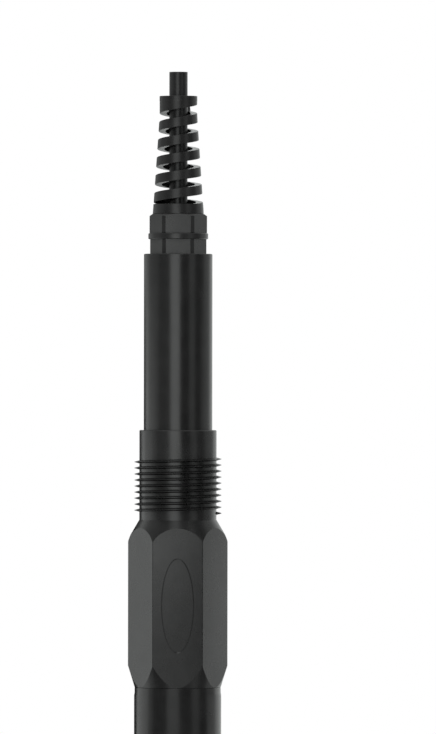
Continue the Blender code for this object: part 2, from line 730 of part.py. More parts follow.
def make_temperature_probe(sheath_material, thermistor_material):
    """Steel sheath with a half-round tip, and the thermistor on its stem inside."""
    radius = SHEATH_DIAMETER / 2
    bore = radius - SHEATH_WALL
    centre = SHEATH_TIP_HEIGHT + radius
    sheath_outline = [
        (radius, ELECTRODE_TOP),
        (radius, HEAD_BOTTOM + SHEATH_HEAD_HEIGHT),
        (SHEATH_HEAD_RADIUS, HEAD_BOTTOM + SHEATH_HEAD_HEIGHT),
        (SHEATH_HEAD_RADIUS, HEAD_BOTTOM),
        (radius, HEAD_BOTTOM),
        *dome(radius, centre),
        (0.0, SHEATH_TIP_HEIGHT),
        (0.0, SHEATH_TIP_HEIGHT + SHEATH_WALL),
        *reversed(dome(bore, centre)),
        (bore, ELECTRODE_TOP),
    ]
    bead = bore - CLEARANCE
    stem = THERMISTOR_STEM_DIAMETER / 2
    thermistor_outline = [
        (0.0, ELECTRODE_TOP + THERMISTOR_STANDOUT),
        (stem, ELECTRODE_TOP + THERMISTOR_STANDOUT),
        (stem, centre + THERMISTOR_BEAD_LENGTH),
        (bead, centre + THERMISTOR_BEAD_LENGTH - bead),
        *dome(bead, centre),
        (0.0, centre - bead),
    ]
    sheath = turned("temperature_sheath", sheath_outline, sheath_material, 0.0, FINE_FACETS)
    thermistor = turned("thermistor", thermistor_outline, thermistor_material, 0.0, FINE_FACETS // 2)
    for piece in (sheath, thermistor):
        piece.location.y = SHEATH_OFFSET


def connector_centre_y():
    """Distance of the connectors' middle in front of the board's middle plane."""
    return -(BOARD_THICKNESS / 2 + CLEARANCE + CONNECTOR_DEPTH / 2)


def make_board(board_material, chip_material, connector_material):
    """The circuit board on its ledge, with its chips and its two connectors."""
    board_size = (BOARD_WIDTH, BOARD_THICKNESS, BOARD_TOP - BOARD_BOTTOM)
    board_centre = (0.0, 0.0, (BOARD_TOP + BOARD_BOTTOM) / 2)
    block("circuit_board", board_size, board_centre, board_material, CHIP_EDGE_CHAMFER)
    chips = (
        ("amplifier_chip", AMPLIFIER_CHIP_SIZE, AMPLIFIER_CHIP_HEIGHT),
        ("processor_chip", PROCESSOR_CHIP_SIZE, PROCESSOR_CHIP_HEIGHT),
        ("driver_chip", DRIVER_CHIP_SIZE, DRIVER_CHIP_HEIGHT),
    )
    for name, size, height in chips:
        depth = BOARD_THICKNESS / 2 + CLEARANCE + size[1] / 2
        block(name, size, (0.0, -depth, BOARD_BOTTOM + height), chip_material, CHIP_EDGE_CHAMFER)
    for name, height, centre in (
        ("electrode_connector", ELECTRODE_CONNECTOR_HEIGHT, electrode_connector_centre()),
        ("cable_connector", CABLE_CONNECTOR_HEIGHT, cable_connector_centre()),
    ):
        size = (CONNECTOR_WIDTH, CONNECTOR_DEPTH, height)
        block(name, size, (0.0, connector_centre_y(), centre), connector_material, CONNECTOR_EDGE_CHAMFER)


def electrode_connector_centre():
    """Height of the middle of the connector for the electrode leads."""
    return BOARD_BOTTOM + ELECTRODE_CONNECTOR_LIFT + ELECTRODE_CONNECTOR_HEIGHT / 2


def cable_connector_centre():
    """Height of the middle of the connector for the cable's cores."""
    return BOARD_TOP - CABLE_CONNECTOR_DROP - CABLE_CONNECTOR_HEIGHT / 2


def make_leads(material):
    """The three leads from the electrodes up through the throat to the board."""
    starts = (
        ("nitrate_lead", -ELECTRODE_OFFSET, 0.0, ELECTRODE_TOP + SILVER_WIRE_STANDOUT),
        ("temperature_lead", 0.0, SHEATH_OFFSET, ELECTRODE_TOP + THERMISTOR_STANDOUT),
        ("reference_lead", ELECTRODE_OFFSET, 0.0, ELECTRODE_TOP + SILVER_WIRE_STANDOUT),
    )
    top = electrode_connector_centre() - ELECTRODE_CONNECTOR_HEIGHT / 2 - CLEARANCE
    reach = SPIGOT_RADIUS - SPIGOT_WALL - LEAD_DIAMETER - CLEARANCE
    for index, (name, x, y, level) in enumerate(starts):
        start = Vector((x, y, level + CLEARANCE))
        end = Vector(((index - 1) * LEAD_SPACING, connector_centre_y(), top))
        throat = Vector((x, y, 0.0)).normalized() * reach
        throat.z = SPIGOT_BOTTOM
        points = (
            start,
            start + Vector((0.0, 0.0, 2 * LEAD_DIAMETER)),
            throat,
            (throat + end) / 2,
            end - Vector((0.0, 0.0, 2 * LEAD_DIAMETER)),
            end,
        )
        wire(name, smooth_route(points), LEAD_DIAMETER, material)


def make_rear_tube(material):
    """The tube behind the collar, closed at the top by a wall with the gland's threaded hole."""
    radius = TUBE_DIAMETER / 2
    bottom = SOCKET_FLOOR + CLEARANCE
    hole = GLAND_THREAD_RADIUS + CLEARANCE
    pocket = washer_outer_radius() + CLEARANCE
    pocket_floor = TUBE_TOP - washer_pocket_depth()
    outline = [
        (radius - TUBE_EDGE_CHAMFER, TUBE_TOP),
        (radius, TUBE_TOP - TUBE_EDGE_CHAMFER),
        (radius, bottom),
        (TUBE_BORE_RADIUS, bottom),
        (TUBE_BORE_RADIUS, TUBE_TOP - TUBE_END_WALL),
        (hole, TUBE_TOP - TUBE_END_WALL),
        (hole, pocket_floor),
        (pocket, pocket_floor),
        (pocket, TUBE_TOP),
    ]
    return turned("rear_tube", outline, material)


def washer_inner_radius():
    """Inner radius of the sealing washer, round the relief under the gland's hexagon."""
    return GLAND_THREAD_RADIUS - GLAND_RELIEF_DEPTH + CLEARANCE


def washer_outer_radius():
    """Outer radius of the sealing washer."""
    return washer_inner_radius() + GLAND_WASHER_WIDTH


def washer_pocket_depth():
    """Depth of the pocket that the sealing washer lies in."""
    return GLAND_WASHER_THICKNESS + 2 * CLEARANCE


def make_gland_washer(material):
    """The flat rubber washer that seals the gland on the tube."""
    outline = tube_outline(washer_outer_radius(), washer_inner_radius(), GLAND_WASHER_THICKNESS)
    bottom = TUBE_TOP - washer_pocket_depth() + CLEARANCE
    return turned("gland_washer", outline, material, bottom, SMALL_FACETS)


def make_gland_body(material):
    """Threaded stem, hexagon, flange, threaded neck and the fingers that clamp the seal."""
    body = turned("gland_body", gland_core_outline(), material, 0.0, SMALL_FACETS)
    bottom = TUBE_TOP + CLEARANCE
    middle_of_flange = GLAND_FLANGE_BOTTOM + GLAND_FLANGE_HEIGHT / 2
    combine(body, gland_thread(), "UNION")
    combine(
        body, hexagonal_prism("gland_flats", GLAND_HEXAGON_ACROSS_FLATS, bottom, middle_of_flange), "UNION"
    )
    bore = as_cutter(turned("gland_bore", gland_bore_outline(), None, 0.0, SMALL_FACETS))
    combine(body, bore, "DIFFERENCE")
    for index in range(CLAMP_FINGER_SLOTS // 2):
        combine(body, finger_slot(index), "DIFFERENCE")
    return body


def neck_top():
    """Height where the gland's threaded neck ends and its clamping fingers start."""
    return GLAND_FLANGE_TOP + GLAND_NECK_LENGTH


def gland_core_outline():
    """The round part of the gland body, from the finger tips down to the end of the stem."""
    flange = GLAND_FLANGE_DIAMETER / 2
    relief = GLAND_THREAD_RADIUS - GLAND_RELIEF_DEPTH
    stem_bottom = TUBE_TOP - GLAND_STEM_LENGTH
    relief_bottom = TUBE_TOP - washer_pocket_depth()
    fillet = GLAND_FLANGE_FILLET
    arc = fillet * (1 - math.sqrt(0.5))
    root = GLAND_ROOT_RADIUS
    tip = neck_top() + CLAMP_FINGER_LENGTH
    return [
        (0.0, tip),
        (root - CLAMP_FINGER_TIP_INSET, tip),
        (root, neck_top()),
        (root, GLAND_FLANGE_TOP),
        (flange - fillet, GLAND_FLANGE_TOP),
        (flange - arc, GLAND_FLANGE_TOP - arc),
        (flange, GLAND_FLANGE_TOP - fillet),
        (flange, GLAND_FLANGE_BOTTOM + fillet),
        (flange - arc, GLAND_FLANGE_BOTTOM + arc),
        (flange - fillet, GLAND_FLANGE_BOTTOM),
        (relief, GLAND_FLANGE_BOTTOM),
        (relief, relief_bottom),
        (GLAND_THREAD_RADIUS, relief_bottom - GLAND_RELIEF_DEPTH),
        (GLAND_THREAD_RADIUS, stem_bottom),
        (0.0, stem_bottom),
    ]


def gland_thread():
    """The ridge of the neck's right-handed M12 thread, which the nut turns on."""
    root_width = GLAND_THREAD_PITCH - GLAND_THREAD_CREST_WIDTH
    section = ridge_section(GLAND_ROOT_RADIUS, GLAND_THREAD_RADIUS, root_width, GLAND_THREAD_CREST_WIDTH)
    ridge = helix("gland_thread", section, GLAND_THREAD_PITCH, GLAND_THREAD_TURNS, SMALL_FACETS)
    ridge.location.z = GLAND_FLANGE_TOP + (GLAND_NECK_LENGTH - GLAND_THREAD_TURNS * GLAND_THREAD_PITCH) / 2
    return ridge


def seal_seat():
    """Height of the ledge in the gland body that the seal stands on."""
    return GLAND_FLANGE_TOP


def gland_bore_outline():
    """The cable's way through the gland body, widened for the seal above its ledge."""
    cable_way = SEAL_BORE_RADIUS - SEAL_SEAT_STEP
    top = neck_top() + CLAMP_FINGER_LENGTH + CUTTER_REACH
    bottom = TUBE_TOP - GLAND_STEM_LENGTH - CUTTER_REACH
    return [
        (0.0, top),
        (SEAL_BORE_RADIUS, top),
        (SEAL_BORE_RADIUS, seal_seat()),
        (cable_way, seal_seat()),
        (cable_way, bottom),
        (0.0, bottom),
    ]


def finger_slot(index):
    """A flat cutter across the neck's end that parts two opposite pairs of fingers."""
    bm = bmesh.new()
    bmesh.ops.create_cube(bm, size=1.0)
    bottom = neck_top() + CLAMP_FINGER_ROOT
    top = neck_top() + CLAMP_FINGER_LENGTH + CUTTER_REACH
    size = (GLAND_THREAD_DIAMETER + CUTTER_REACH, CLAMP_FINGER_SLOT_WIDTH, top - bottom)
    bmesh.ops.scale(bm, vec=Vector(size), verts=bm.verts)
    name = f"finger_slot_{index + 1}"
    slot = as_cutter(add_object(name, mesh_from(bm, name), None))
    slot.location.z = (bottom + top) / 2
    slot.rotation_euler.z = 2 * math.pi * index / CLAMP_FINGER_SLOTS
    return slot


def make_gland_seal(material):
    """The rubber sleeve that the fingers press onto the cable."""
    bottom = seal_seat() + CLEARANCE
    length = neck_top() + CLAMP_FINGER_LENGTH - CLEARANCE - bottom
    outline = tube_outline(SEAL_RADIUS, CABLE_RADIUS + CLEARANCE, length)
    return turned("gland_seal", outline, material, bottom, SMALL_FACETS)


def cone_radius(level):
    """Radius of the nut's inner cone, which follows the fingers' outside at the slip ring's distance."""
    slope = CLAMP_FINGER_TIP_INSET / CLAMP_FINGER_LENGTH
    return GLAND_ROOT_RADIUS + 2 * CLEARANCE + SLIP_RING_WALL - slope * (level - neck_top())


def make_slip_ring(material):
    """The thin ring between the fingers and the nut's cone: it rises with the nut and doesn't turn."""
    bottom = neck_top() + CLEARANCE
    top = bottom + SLIP_RING_LENGTH
    outline = []
    for level in (top, bottom):
        outline.append((cone_radius(level) - CLEARANCE, level))
    for level in (bottom, top):
        outline.append((cone_radius(level) - CLEARANCE - SLIP_RING_WALL, level))
    return turned("slip_ring", outline, material, 0.0, SMALL_FACETS)


def make_gland_nut(material):
    """Hexagon, conical ring and spiral strain relief, moulded in one piece."""
    nut = turned("gland_nut", nut_hexagon_outline(), material)
    prism = hexagonal_prism(
        "nut_flats", NUT_ACROSS_FLATS, GLAND_FLANGE_TOP - CUTTER_REACH, NUT_TOP + CUTTER_REACH
    )
    combine(nut, prism, "INTERSECT")
    combine(nut, as_cutter(turned("base_ring", base_ring_outline(), None)), "UNION")
    combine(nut, as_cutter(turned("nut_bore", nut_bore_outline(), None)), "DIFFERENCE")
    combine(nut, spiral_band(), "UNION", "MANIFOLD")
    combine(nut, as_cutter(turned("top_ring", top_ring_outline(), None)), "UNION", "MANIFOLD")
    return nut


def relief_radius(level):
    """Outer radius of the strain relief, which tapers to its plain upper end."""
    straight = BOOT_TOP - BOOT_STRAIGHT_LENGTH
    share = min(1.0, (level - NUT_TOP) / (straight - NUT_TOP))
    return (BOOT_BASE_DIAMETER + (BOOT_TOP_DIAMETER - BOOT_BASE_DIAMETER) * share) / 2


def base_ring_top():
    """Height where the strain relief's base ring ends and its spiral starts."""
    return NUT_TOP + BOOT_BASE_RING_HEIGHT


def nut_hexagon_outline():
    """The nut's block before its flats are cut, with the corners at its top chamfered."""
    bottom = GLAND_FLANGE_TOP + CLEARANCE
    corner = NUT_ACROSS_FLATS / math.sqrt(3) + JOIN_OVERLAP
    return [
        (0.0, NUT_TOP),
        (corner - NUT_TOP_CHAMFER_WIDTH, NUT_TOP),
        (corner, NUT_TOP - NUT_TOP_CHAMFER),
        (corner, bottom),
        (0.0, bottom),
    ]


def base_ring_outline():
    """The solid ring that stands on the hexagon, down to its root inside the hexagon."""
    base = relief_radius(NUT_TOP) + RING_STEP
    root = NUT_TOP_CHAMFER
    return [
        (0.0, base_ring_top()),
        (relief_radius(base_ring_top()) + RING_STEP, base_ring_top()),
        (base, NUT_TOP + MOULDED_EDGE),
        (base - root, NUT_TOP + MOULDED_EDGE - root),
        (0.0, NUT_TOP + MOULDED_EDGE - root),
    ]


def nut_bore_outline():
    """The nut's inside, from the base ring down: cone on the slip ring and the thread bore."""
    mouth = relief_radius(base_ring_top()) - BOOT_WALL - RING_STEP
    cone_top = base_ring_top() - CLEARANCE
    cone_bottom = neck_top() - CLEARANCE
    return [
        (0.0, base_ring_top() + CUTTER_REACH),
        (mouth, base_ring_top() + CUTTER_REACH),
        (mouth, base_ring_top()),
        (cone_radius(cone_top), cone_top),
        (cone_radius(cone_bottom), cone_bottom),
        (NUT_BORE_RADIUS, cone_bottom - (NUT_BORE_RADIUS - cone_radius(cone_bottom))),
        (NUT_BORE_RADIUS, GLAND_FLANGE_TOP - CUTTER_REACH),
        (0.0, GLAND_FLANGE_TOP - CUTTER_REACH),
    ]


def slot_level(turn):
    """Height of the middle of the spiral slot, at an angle that counts on from turn to turn."""
    end = BOOT_TOP - SPIRAL_END_BELOW_BOOT_TOP
    return end + SPIRAL_PITCH * (turn - math.radians(SPIRAL_END_ANGLE)) / (2 * math.pi)


def top_ring_bottom():
    """Height of the plain ring that ends the strain relief, over the slot's upper end."""
    return BOOT_TOP - SPIRAL_END_BELOW_BOOT_TOP + SPIRAL_SLOT_HEIGHT / 2 + CLEARANCE


def spiral_band():
    """The springy right-handed band between the turns of the slot, from the base ring to the top ring."""
    bm = bmesh.new()
    step_angle = 2 * math.pi / HOUSING_FACETS
    last = round(math.radians(SPIRAL_END_ANGLE) / step_angle)
    half_slot = SPIRAL_SLOT_HEIGHT / 2
    sunk = CLEARANCE
    sections = []
    step = last
    while slot_level(step_angle * step + 2 * math.pi) - half_slot > base_ring_top():
        turn = step_angle * step
        low = max(slot_level(turn) + half_slot, base_ring_top() - sunk)
        high = slot_level(turn + 2 * math.pi) - half_slot
        if step > last - HOUSING_FACETS:
            high = top_ring_bottom() + sunk
        sections.append(band_section(bm, turn, low, high))
        step -= 1
    for section, below in zip(sections, sections[1:]):
        for corner in range(4):
            following = (corner + 1) % 4
            bm.faces.new((section[corner], section[following], below[following], below[corner]))
    bm.faces.new(sections[0])
    bm.faces.new(sections[-1])
    bmesh.ops.recalc_face_normals(bm, faces=bm.faces)
    return as_cutter(add_object("spiral_band", mesh_from(bm, "spiral_band"), None))


def band_section(bm, turn, low, high):
    """The four corners of the band at one angle."""
    corners = []
    for level, rises in ((low, False), (high, True)):
        outer = relief_radius(level)
        inner = outer - BOOT_WALL
        for radius in (outer, inner) if rises else (inner, outer):
            corners.append(bm.verts.new((radius * math.cos(turn), radius * math.sin(turn), level)))
    return corners


def top_ring_outline():
    """The ring that ends the strain relief, with a lip that guides the cable."""
    radius = relief_radius(BOOT_TOP) + RING_STEP
    bore = relief_radius(BOOT_TOP) - BOOT_WALL - RING_STEP
    cable_hole = CABLE_RADIUS + CLEARANCE
    lip = top_ring_bottom() + (bore - cable_hole)
    return [
        (radius - MOULDED_EDGE, BOOT_TOP),
        (radius, BOOT_TOP - MOULDED_EDGE),
        (radius, top_ring_bottom()),
        (bore, top_ring_bottom()),
        (cable_hole, lip),
        (cable_hole, BOOT_TOP),
    ]


def core_place(index):
    """Place of one core in the cable, on a square round the middle."""
    bundle = CABLE_RADIUS - CABLE_JACKET_WALL - CLEARANCE - CORE_DIAMETER / 2
    turn = math.radians(45 + 90 * index)
    return bundle * math.cos(turn), bundle * math.sin(turn)


def make_cable(jacket_material, core_materials):
    """The cable's jacket and its four cores, which spread to the cable connector."""
    length = CABLE_TOP - CABLE_BOTTOM
    outline = tube_outline(CABLE_RADIUS, CABLE_RADIUS - CABLE_JACKET_WALL, length)
    turned("cable_jacket", outline, jacket_material, CABLE_BOTTOM, SMALL_FACETS)
    top = CABLE_TOP - CORE_SET_BACK
    connector_top = cable_connector_centre() + CABLE_CONNECTOR_HEIGHT / 2 + CLEARANCE
    fan_top = CABLE_BOTTOM - CORE_DIAMETER
    for index, (name, material) in enumerate(core_materials):
        x, y = core_place(index)
        order = (index - 1) % len(core_materials)
        end_x = (order - (len(core_materials) - 1) / 2) * LEAD_SPACING
        end = Vector((end_x, connector_centre_y(), connector_top))
        fan = (
            Vector((x, y, fan_top + CORE_DIAMETER)),
            Vector((x, y, fan_top)),
            end + Vector((0.0, 0.0, CORE_DIAMETER)),
            end,
        )
        wire(name, [Vector((x, y, top)), *smooth_route(fan)], CORE_DIAMETER, material)


def bake(obj):
    """Keep the finished mesh of an object in place of its modifiers, shaded smooth between its edges."""
    graph = bpy.context.evaluated_depsgraph_get()
    mesh = bpy.data.meshes.new_from_object(obj.evaluated_get(graph))
    mesh.name = obj.name
    obj.modifiers.clear()
    obj.data = mesh
    mesh.shade_smooth()
    mesh.set_sharp_from_angle(angle=math.radians(35))


def main():
    """Build every piece of the sensor."""
    black = new_material("housing_plastic", (0.030, 0.030, 0.032), 0.42)
    nylon = new_material("gland_nylon", (0.034, 0.034, 0.035), 0.52)
    rubber = new_material("seal_rubber", (0.020, 0.020, 0.021), 0.75)
    jacket = new_material("cable_jacket", (0.025, 0.025, 0.026), 0.50)
    carrier = new_material("carrier_plastic", (0.10, 0.10, 0.11), 0.45)
    electrode = new_material("electrode_plastic", (0.62, 0.62, 0.60), 0.40)
    membrane = new_material("membrane", (0.80, 0.72, 0.52), 0.35)
    ceramic = new_material("junction_ceramic", (0.82, 0.80, 0.76), 0.80)
    silver = new_material("silver_wire", (0.70, 0.69, 0.66), 0.30, 1.0)
    steel = new_material("sheath_steel", (0.56, 0.56, 0.57), 0.28, 1.0)
    resin = new_material("thermistor_resin", (0.05, 0.05, 0.05), 0.50)
    board = new_material("board_laminate", (0.02, 0.16, 0.07), 0.45)
    chip = new_material("chip_resin", (0.03, 0.03, 0.03), 0.55)
    connector = new_material("connector_plastic", (0.75, 0.73, 0.68), 0.50)
    lead = new_material("lead_insulation", (0.70, 0.70, 0.70), 0.50)
    slip = new_material("slip_ring_plastic", (0.75, 0.75, 0.73), 0.40)
    cores = (
        ("core_red", new_material("core_red", (0.55, 0.03, 0.03), 0.45)),
        ("core_black", new_material("core_black", (0.02, 0.02, 0.02), 0.45)),
        ("core_blue", new_material("core_blue", (0.03, 0.10, 0.45), 0.45)),
        ("core_yellow", new_material("core_yellow", (0.70, 0.55, 0.04), 0.45)),
    )
    make_main_body(black)
    make_front_sleeve(black)
    spigot_groove_top = SPIGOT_BOTTOM + O_RING_GROOVE_MARGIN + O_RING_GROOVE_WIDTH
    make_o_ring("spigot_o_ring", SPIGOT_RADIUS, spigot_groove_top, rubber)
    make_guard(black)
    make_carrier(carrier)
    make_o_ring("carrier_o_ring", CARRIER_RADIUS, CARRIER_TOP - O_RING_GROOVE_MARGIN, rubber)
    make_nitrate_electrode(electrode, membrane, silver)
    make_reference_electrode(electrode, ceramic, silver)
    make_temperature_probe(steel, resin)
    make_board(board, chip, connector)
    make_leads(lead)
    make_rear_tube(black)
    make_gland_washer(rubber)
    make_gland_body(nylon)
    make_gland_seal(rubber)
    make_slip_ring(slip)
    make_gland_nut(nylon)
    make_cable(jacket, cores)
    bpy.context.view_layer.update()
    for obj in [item for item in PARTS.objects if item.type == "MESH"]:
        bake(obj)
    for cutter in list(CUTTERS.objects):
        bpy.data.objects.remove(cutter)


clear_scene()
PARTS = bpy.data.collections.new("nitrate_ion_sensor")
CUTTERS = bpy.data.collections.new("cutters")
bpy.context.scene.collection.children.link(PARTS)
bpy.context.scene.collection.children.link(CUTTERS)
SENSOR_AXIS = bpy.data.objects.new("sensor_axis", None)
PARTS.objects.link(SENSOR_AXIS)
main()
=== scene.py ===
# %% [markdown]
# # A nitrate ion sensor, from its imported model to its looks
#
# The sensor is a slim black probe: a guard over the electrodes at the tip, a round housing with a hexagon
# for the spanner, a pipe thread, a rear tube, and a cable gland whose nut runs out into a springy spiral.
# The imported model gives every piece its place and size. This file gives the pieces that are seen from
# outside finer shapes at the same sizes, gives every piece its finish, and sets up camera and light.

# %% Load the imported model
import math

import bpy
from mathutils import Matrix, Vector


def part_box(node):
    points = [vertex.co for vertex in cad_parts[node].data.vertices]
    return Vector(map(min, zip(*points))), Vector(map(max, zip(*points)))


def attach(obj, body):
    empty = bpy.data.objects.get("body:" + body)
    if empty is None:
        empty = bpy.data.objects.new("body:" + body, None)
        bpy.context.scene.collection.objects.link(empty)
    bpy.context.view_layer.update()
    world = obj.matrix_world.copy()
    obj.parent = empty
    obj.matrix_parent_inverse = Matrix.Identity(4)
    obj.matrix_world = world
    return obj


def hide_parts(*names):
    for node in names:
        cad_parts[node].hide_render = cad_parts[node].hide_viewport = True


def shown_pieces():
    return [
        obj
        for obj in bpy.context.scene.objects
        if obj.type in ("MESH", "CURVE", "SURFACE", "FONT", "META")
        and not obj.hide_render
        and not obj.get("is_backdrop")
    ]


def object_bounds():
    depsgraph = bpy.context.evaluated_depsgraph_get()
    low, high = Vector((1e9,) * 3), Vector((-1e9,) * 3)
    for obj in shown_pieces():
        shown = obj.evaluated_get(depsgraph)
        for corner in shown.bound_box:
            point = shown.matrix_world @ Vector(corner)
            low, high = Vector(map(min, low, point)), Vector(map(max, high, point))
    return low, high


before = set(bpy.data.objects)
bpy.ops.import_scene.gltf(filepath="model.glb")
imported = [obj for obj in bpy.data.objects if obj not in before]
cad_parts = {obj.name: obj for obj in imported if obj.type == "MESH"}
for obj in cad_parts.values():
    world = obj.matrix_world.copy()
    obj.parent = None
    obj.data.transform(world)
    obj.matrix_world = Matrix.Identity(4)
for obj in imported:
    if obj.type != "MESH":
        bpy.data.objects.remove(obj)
CAD_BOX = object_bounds()
print("The packed model has", len(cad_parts), "pieces")
print("It stands", round(CAD_BOX[1].z * 1000, 1), "mm tall")

# %% [markdown]
# ## The camera
#
# The photograph looks at the sensor from straight in front, so that every edge across it is a straight
# line. That takes a long lens from far away. The frame is 436 by 734 pixels, and the sensor's axis stands
# a little left of its middle. The picture's long side is its height, and Blender fits the camera's sensor
# width to the long side, so the distance follows from the height that the frame takes in.

# %% Camera
FRAME_HEIGHT = 0.22075
LENS = 400.0
CAMERA_SENSOR = 36.0
VIEW_CENTRE = Vector((0.0120, 0.0, 0.2080))
CAMERA_ROLL = math.radians(-0.08)
CLIP_END = 20.0

camera_distance = FRAME_HEIGHT * LENS / CAMERA_SENSOR
bpy.ops.object.camera_add(
    location=VIEW_CENTRE - Vector((0.0, camera_distance, 0.0)), rotation=(math.pi / 2, CAMERA_ROLL, 0.0)
)
camera = bpy.context.object
camera.name = "photo_camera"
camera.data.lens = LENS
camera.data.sensor_width = CAMERA_SENSOR
camera.data.clip_end = CLIP_END
bpy.context.scene.camera = camera
bpy.context.scene.view_settings.view_transform = "Standard"
print("The camera stands", round(camera_distance, 2), "m away")

# %% [markdown]
# ## White surroundings
#
# The photograph has a pure white background. The world gives it: what the camera sees directly, and what
# gloss and glass show, is white at strength 1. The light that the world sheds on everything is softer.

# %% World
WORLD_LIGHT = 0.55


def node_at(tree, kind, place):
    """Add a node of a kind at a place in a node tree."""
    node = tree.nodes.new(kind)
    node.location = place
    return node


def white_world(light):
    """A world that looks white and sheds a softer light."""
    world = bpy.data.worlds.new("white_studio")
    bpy.context.scene.world = world
    world.use_nodes = True
    tree = world.node_tree
    background = tree.nodes["Background"]
    background.inputs["Color"].default_value = (1.0, 1.0, 1.0, 1.0)
    path = node_at(tree, "ShaderNodeLightPath", (-900, 0))
    seen = path.outputs["Is Camera Ray"]
    for place, ray in enumerate(("Is Glossy Ray", "Is Transmission Ray")):
        either = node_at(tree, "ShaderNodeMath", (-700 + 180 * place, -120 * place))
        either.operation = "MAXIMUM"
        tree.links.new(seen, either.inputs[0])
        tree.links.new(path.outputs[ray], either.inputs[1])
        seen = either.outputs["Value"]
    strength = node_at(tree, "ShaderNodeMapRange", (-300, 0))
    strength.inputs["To Min"].default_value = light
    strength.inputs["To Max"].default_value = 1.0
    tree.links.new(seen, strength.inputs["Value"])
    tree.links.new(strength.outputs["Result"], background.inputs["Strength"])


white_world(WORLD_LIGHT)
print("World light", WORLD_LIGHT)

# %% [markdown]
# ## Lamps
#
# Three large soft lamps light the sensor and the floor from the front left, the right and behind. They give
# the plain light that colours are judged in. What the gloss shows comes from the panels below, so the lamps
# are left out of the reflections.

# %% Lamps
LAMPS = (
    ("key_lamp", (-0.75, -0.95, 1.10), 0.70, 13.0),
    ("fill_lamp", (0.95, -0.55, 0.80), 0.60, 5.0),
    ("back_lamp", (0.25, 0.95, 1.00), 0.60, 5.0),
)
LAMP_TARGET = Vector((0.0, 0.0, 0.15))

for lamp_name, lamp_place, lamp_size, lamp_power in LAMPS:
    aim = (LAMP_TARGET - Vector(lamp_place)).to_track_quat("-Z", "Y").to_euler()
    bpy.ops.object.light_add(type="AREA", location=lamp_place, rotation=aim)
    lamp = bpy.context.object
    lamp.name = lamp_name
    lamp.data.size = lamp_size
    lamp.data.energy = lamp_power
    lamp.visible_camera = False
    lamp.visible_glossy = False
print("Lamps:", len(LAMPS))

# %% [markdown]
# ## Panels for the gloss
#
# A glossy black tube shows its surroundings as upright stripes. A photographer sets cloth panels round it:
# a bright strip by the camera, white cloth to the sides and black cloth in between. Each panel here is an
# upright strip of a tall drum, with an angle from the camera's side, and only the gloss sees it. The
# stripes in the photograph change up the sensor, so each panel has a strength at each of seven heights.

# %% Reflection panels
PANEL_RADIUS = 0.110
PANEL_TOP = 0.42
PANEL_HEIGHTS = (0.108, 0.118, 0.156, 0.168, 0.215, 0.245, 0.258)
PANEL_STEPS = 8
FULL_GLOW = 2.3
PANELS = (
    ("left_back", -180.0, -170.0, (0.35, 0.35, 0.35, 0.35, 0.50, 1.10, 1.30)),
    ("left_black", -170.0, -150.0, (0.01, 0.02, 0.02, 0.01, 0.04, 0.10, 0.15)),
    ("left_black_edge", -150.0, -132.0, (0.01, 0.02, 0.02, 0.03, 0.25, 0.60, 0.40)),
    ("left_white", -132.0, -112.0, (1.05, 1.05, 1.10, 1.25, 0.88, 0.62, 0.46)),
    ("left_grey", -112.0, -80.0, (1.16, 1.05, 1.00, 1.08, 0.72, 0.43, 0.38)),
    ("left_middle", -80.0, -66.0, (0.48, 0.50, 0.60, 0.68, 0.58, 0.45, 0.35)),
    ("left_dark", -66.0, -27.0, (0.12, 0.18, 0.22, 0.24, 0.27, 0.23, 0.15)),
    ("strip_left", -27.0, -22.0, (0.78, 0.50, 1.30, 0.80, 0.90, 1.20, 0.90)),
    ("camera_strip", -22.0, 1.5, (0.78, 0.82, 1.86, 1.90, 1.92, 1.98, 1.20)),
    ("strip_right", 1.5, 5.5, (0.60, 0.15, 0.25, 2.00, 2.00, 2.05, 1.10)),
    ("right_black", 5.5, 36.0, (0.11, 0.05, 0.05, 0.05, 0.05, 0.06, 0.05)),
    ("right_strip", 36.0, 56.0, (0.47, 0.54, 0.54, 0.54, 0.56, 0.56, 0.45)),
    ("right_dark", 56.0, 80.0, (0.07, 0.07, 0.07, 0.09, 0.11, 0.10, 0.08)),
    ("right_grey_edge", 80.0, 92.0, (0.62, 0.30, 0.30, 0.48, 0.37, 0.15, 0.15)),
    ("right_grey", 92.0, 114.0, (0.62, 0.28, 0.25, 0.54, 0.52, 0.56, 0.54)),
    ("right_white_edge", 114.0, 126.0, (1.05, 1.34, 1.34, 0.52, 0.52, 0.54, 0.50)),
    ("right_white", 126.0, 162.0, (1.00, 1.34, 1.30, 0.95, 0.95, 0.88, 0.75)),
    ("right_white_back", 162.0, 170.0, (0.70, 0.70, 0.70, 0.70, 0.80, 0.90, 0.90)),
    ("right_back", 170.0, 180.0, (0.35, 0.35, 0.35, 0.35, 0.50, 1.10, 1.30)),
)
CLOTH_TINT = (0.97, 1.0, 0.985)


